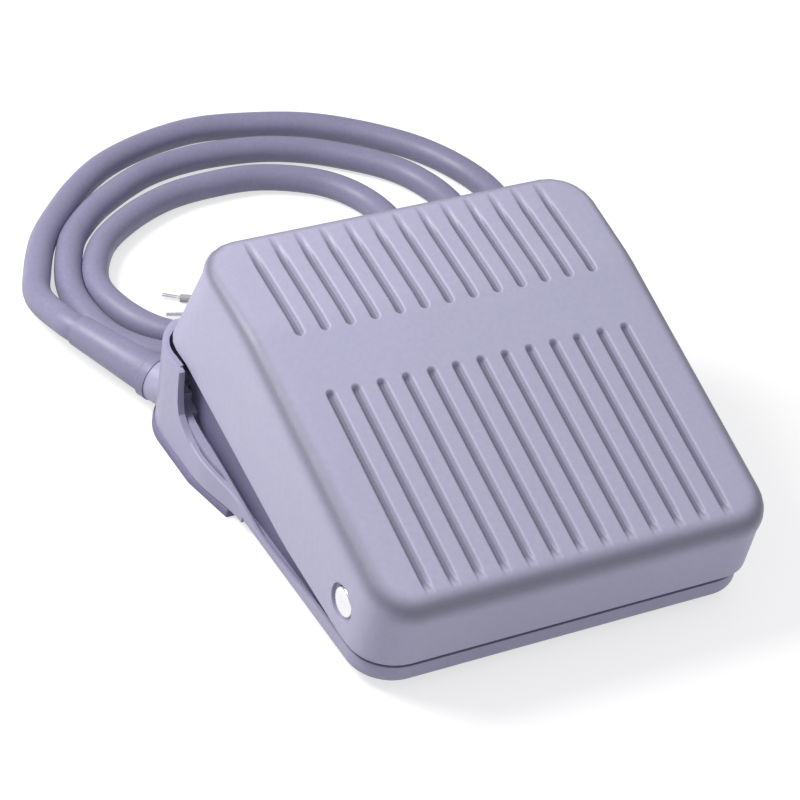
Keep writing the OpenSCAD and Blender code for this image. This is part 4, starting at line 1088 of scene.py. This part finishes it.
class BuildBase(bpy.types.Operator):
    """Base with rounded edges, and its rubber sole"""
    bl_idname = "footswitch.base"
    bl_label = "Base"

    def execute(self, context):
        s = context.scene.switch_cover
        cuts = [wall_trim(), *collar_room(s)]
        for node, name, width, cuts, key, slot in (
                ("base_housing", "base_shell", 0.2 * MM, cuts, "base", "base_plastic"),
                ("rubber_sole", "sole", 0.3 * MM, (), "sole", "sole_rubber")):
            piece = softened(node, name, width, cuts)
            piece.data.materials.clear()
            piece.data.materials.append(material(key))
            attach(piece, "base")
            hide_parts(node)
        for name, parts, key, angle in (("guard_walls", guard_walls(s), "guard", 40),
                                        ("flare_rims", flare_rims(), "base", 40),
                                        ("collar_fairings", collar_fairings(s), "base", 30)):
            add_piece(name, parts, material(key), "base", (), angle)
        return {"FINISHED"}


SPRING_TURNS = 9


class BuildHinge(bpy.types.Operator):
    """Hinge pin with its eyes in the cover, painted shadow rings in the eyes, and the return spring
    """
    bl_idname = "footswitch.hinge"
    bl_label = "Hinge pin and spring"

    def execute(self, context):
        r, half = PIN_RADIUS, PIN_HIGH[0]
        a = np.linspace(0, np.pi / 2, 7)
        soft = 0.5 * MM
        head = r + 0.35 * MM
        end = np.stack([head - soft + soft * np.sin(a), half - soft + soft * np.cos(a)], 1)
        profile = [(0, half + 0.06 * MM), (head / 2, half + 0.04 * MM), *end,
                   (head, half - 0.75 * MM), (r, half - 0.8 * MM)]
        profile += [(p, -h) for p, h in reversed(profile)]
        add_piece("bright_pin", [lathe(profile, (0, HINGE[1], HINGE[2]), (1, 0, 0), 64)],
                  material("pin"), "cover", ["hinge_pin"], 60)
        # Painted shadow: thin black rings at the bottom of the eye recesses, darkening the recess
        # round the pin's end
        eye = context.scene.switch_cover.width / 2 - 0.72 * MM
        inner, outer, thick = head - 0.1 * MM, r + EYE_WIDTH - 0.02 * MM, 0.15 * MM
        ring = [(inner, eye - thick), (outer, eye - thick), (outer, eye), (inner, eye)]
        shadow_rings = [lathe(ring, HINGE, (side, 0, 0), 64, looped=True) for side in (-1, 1)]
        add_piece("painted_eye_shadow_rings", shadow_rings, material("black"), "cover")
        wire = 0.6 * MM
        low, high = SPRING_LOW[2] + wire, SPRING_HIGH[2] - wire
        coil = (SPRING_HIGH[0] - SPRING_LOW[0]) / 2 - wire
        middle = (SPRING_LOW + SPRING_HIGH) / 2
        t = np.linspace(0, 1, 480)
        rise = np.interp(t, [0, 0.09, 0.91, 1], [0, 0.034, 0.966, 1])
        turn = 2 * np.pi * SPRING_TURNS * t
        path = np.stack([middle[0] + coil * np.cos(turn), middle[1] + coil * np.sin(turn),
                         low + (high - low) * rise], 1)
        spring = add_piece("coil_spring", [tube(path, wire, 14)], material("wire"), "base",
                           ["return_spring"], 60)
        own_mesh(spring)
        return {"FINISHED"}


class BuildFittings(bpy.types.Operator):
    """Finishes of the CAD solids that stay as they are"""
    bl_idname = "footswitch.fittings"
    bl_label = "Fittings"

    def execute(self, context):
        for name, node in NODES.items():
            for slot in node.material_slots:
                slot.material = material(NODE_FINISH[name])
            if not node.material_slots:
                node.data.materials.append(material(NODE_FINISH[name]))
        return {"FINISHED"}


class SwitchPanel(bpy.types.Panel):
    """Lists the foot switch's pieces"""
    bl_idname = "VIEW3D_PT_footswitch"
    bl_label = "Foot switch"
    bl_space_type = "VIEW_3D"
    bl_region_type = "UI"
    bl_category = "Foot switch"

    def draw(self, context):
        for operator in OPERATORS:
            self.layout.operator(operator.bl_idname)
        for group in GROUPS:
            box = self.layout.box()
            settings = getattr(context.scene, group)
            for key in settings.__annotations__:
                box.prop(settings, key)


OPERATORS = [BuildStage, BuildLead, BuildCover, BuildBase, BuildHinge, BuildFittings]
GROUPS = {"switch_cover": CoverSizes, "switch_lead": LeadSizes, "switch_colours": Colours}


def register():
    for group, kind in GROUPS.items():
        bpy.utils.register_class(kind)
        setattr(bpy.types.Scene, group, PointerProperty(type=kind))
    for kind in [*OPERATORS, SwitchPanel]:
        bpy.utils.register_class(kind)


def unregister():
    for kind in [SwitchPanel, *reversed(OPERATORS)]:
        bpy.utils.unregister_class(kind)
    for group, kind in reversed(GROUPS.items()):
        delattr(bpy.types.Scene, group)
        bpy.utils.unregister_class(kind)


def main():
    register()
    bpy.context.scene.view_settings.view_transform = "Standard"
    bpy.ops.footswitch.stage()
    bpy.ops.footswitch.lead()
    bpy.ops.footswitch.cover()
    bpy.ops.footswitch.base()
    bpy.ops.footswitch.hinge()
    bpy.ops.footswitch.fittings()


if __name__ == "__main__":
    main()
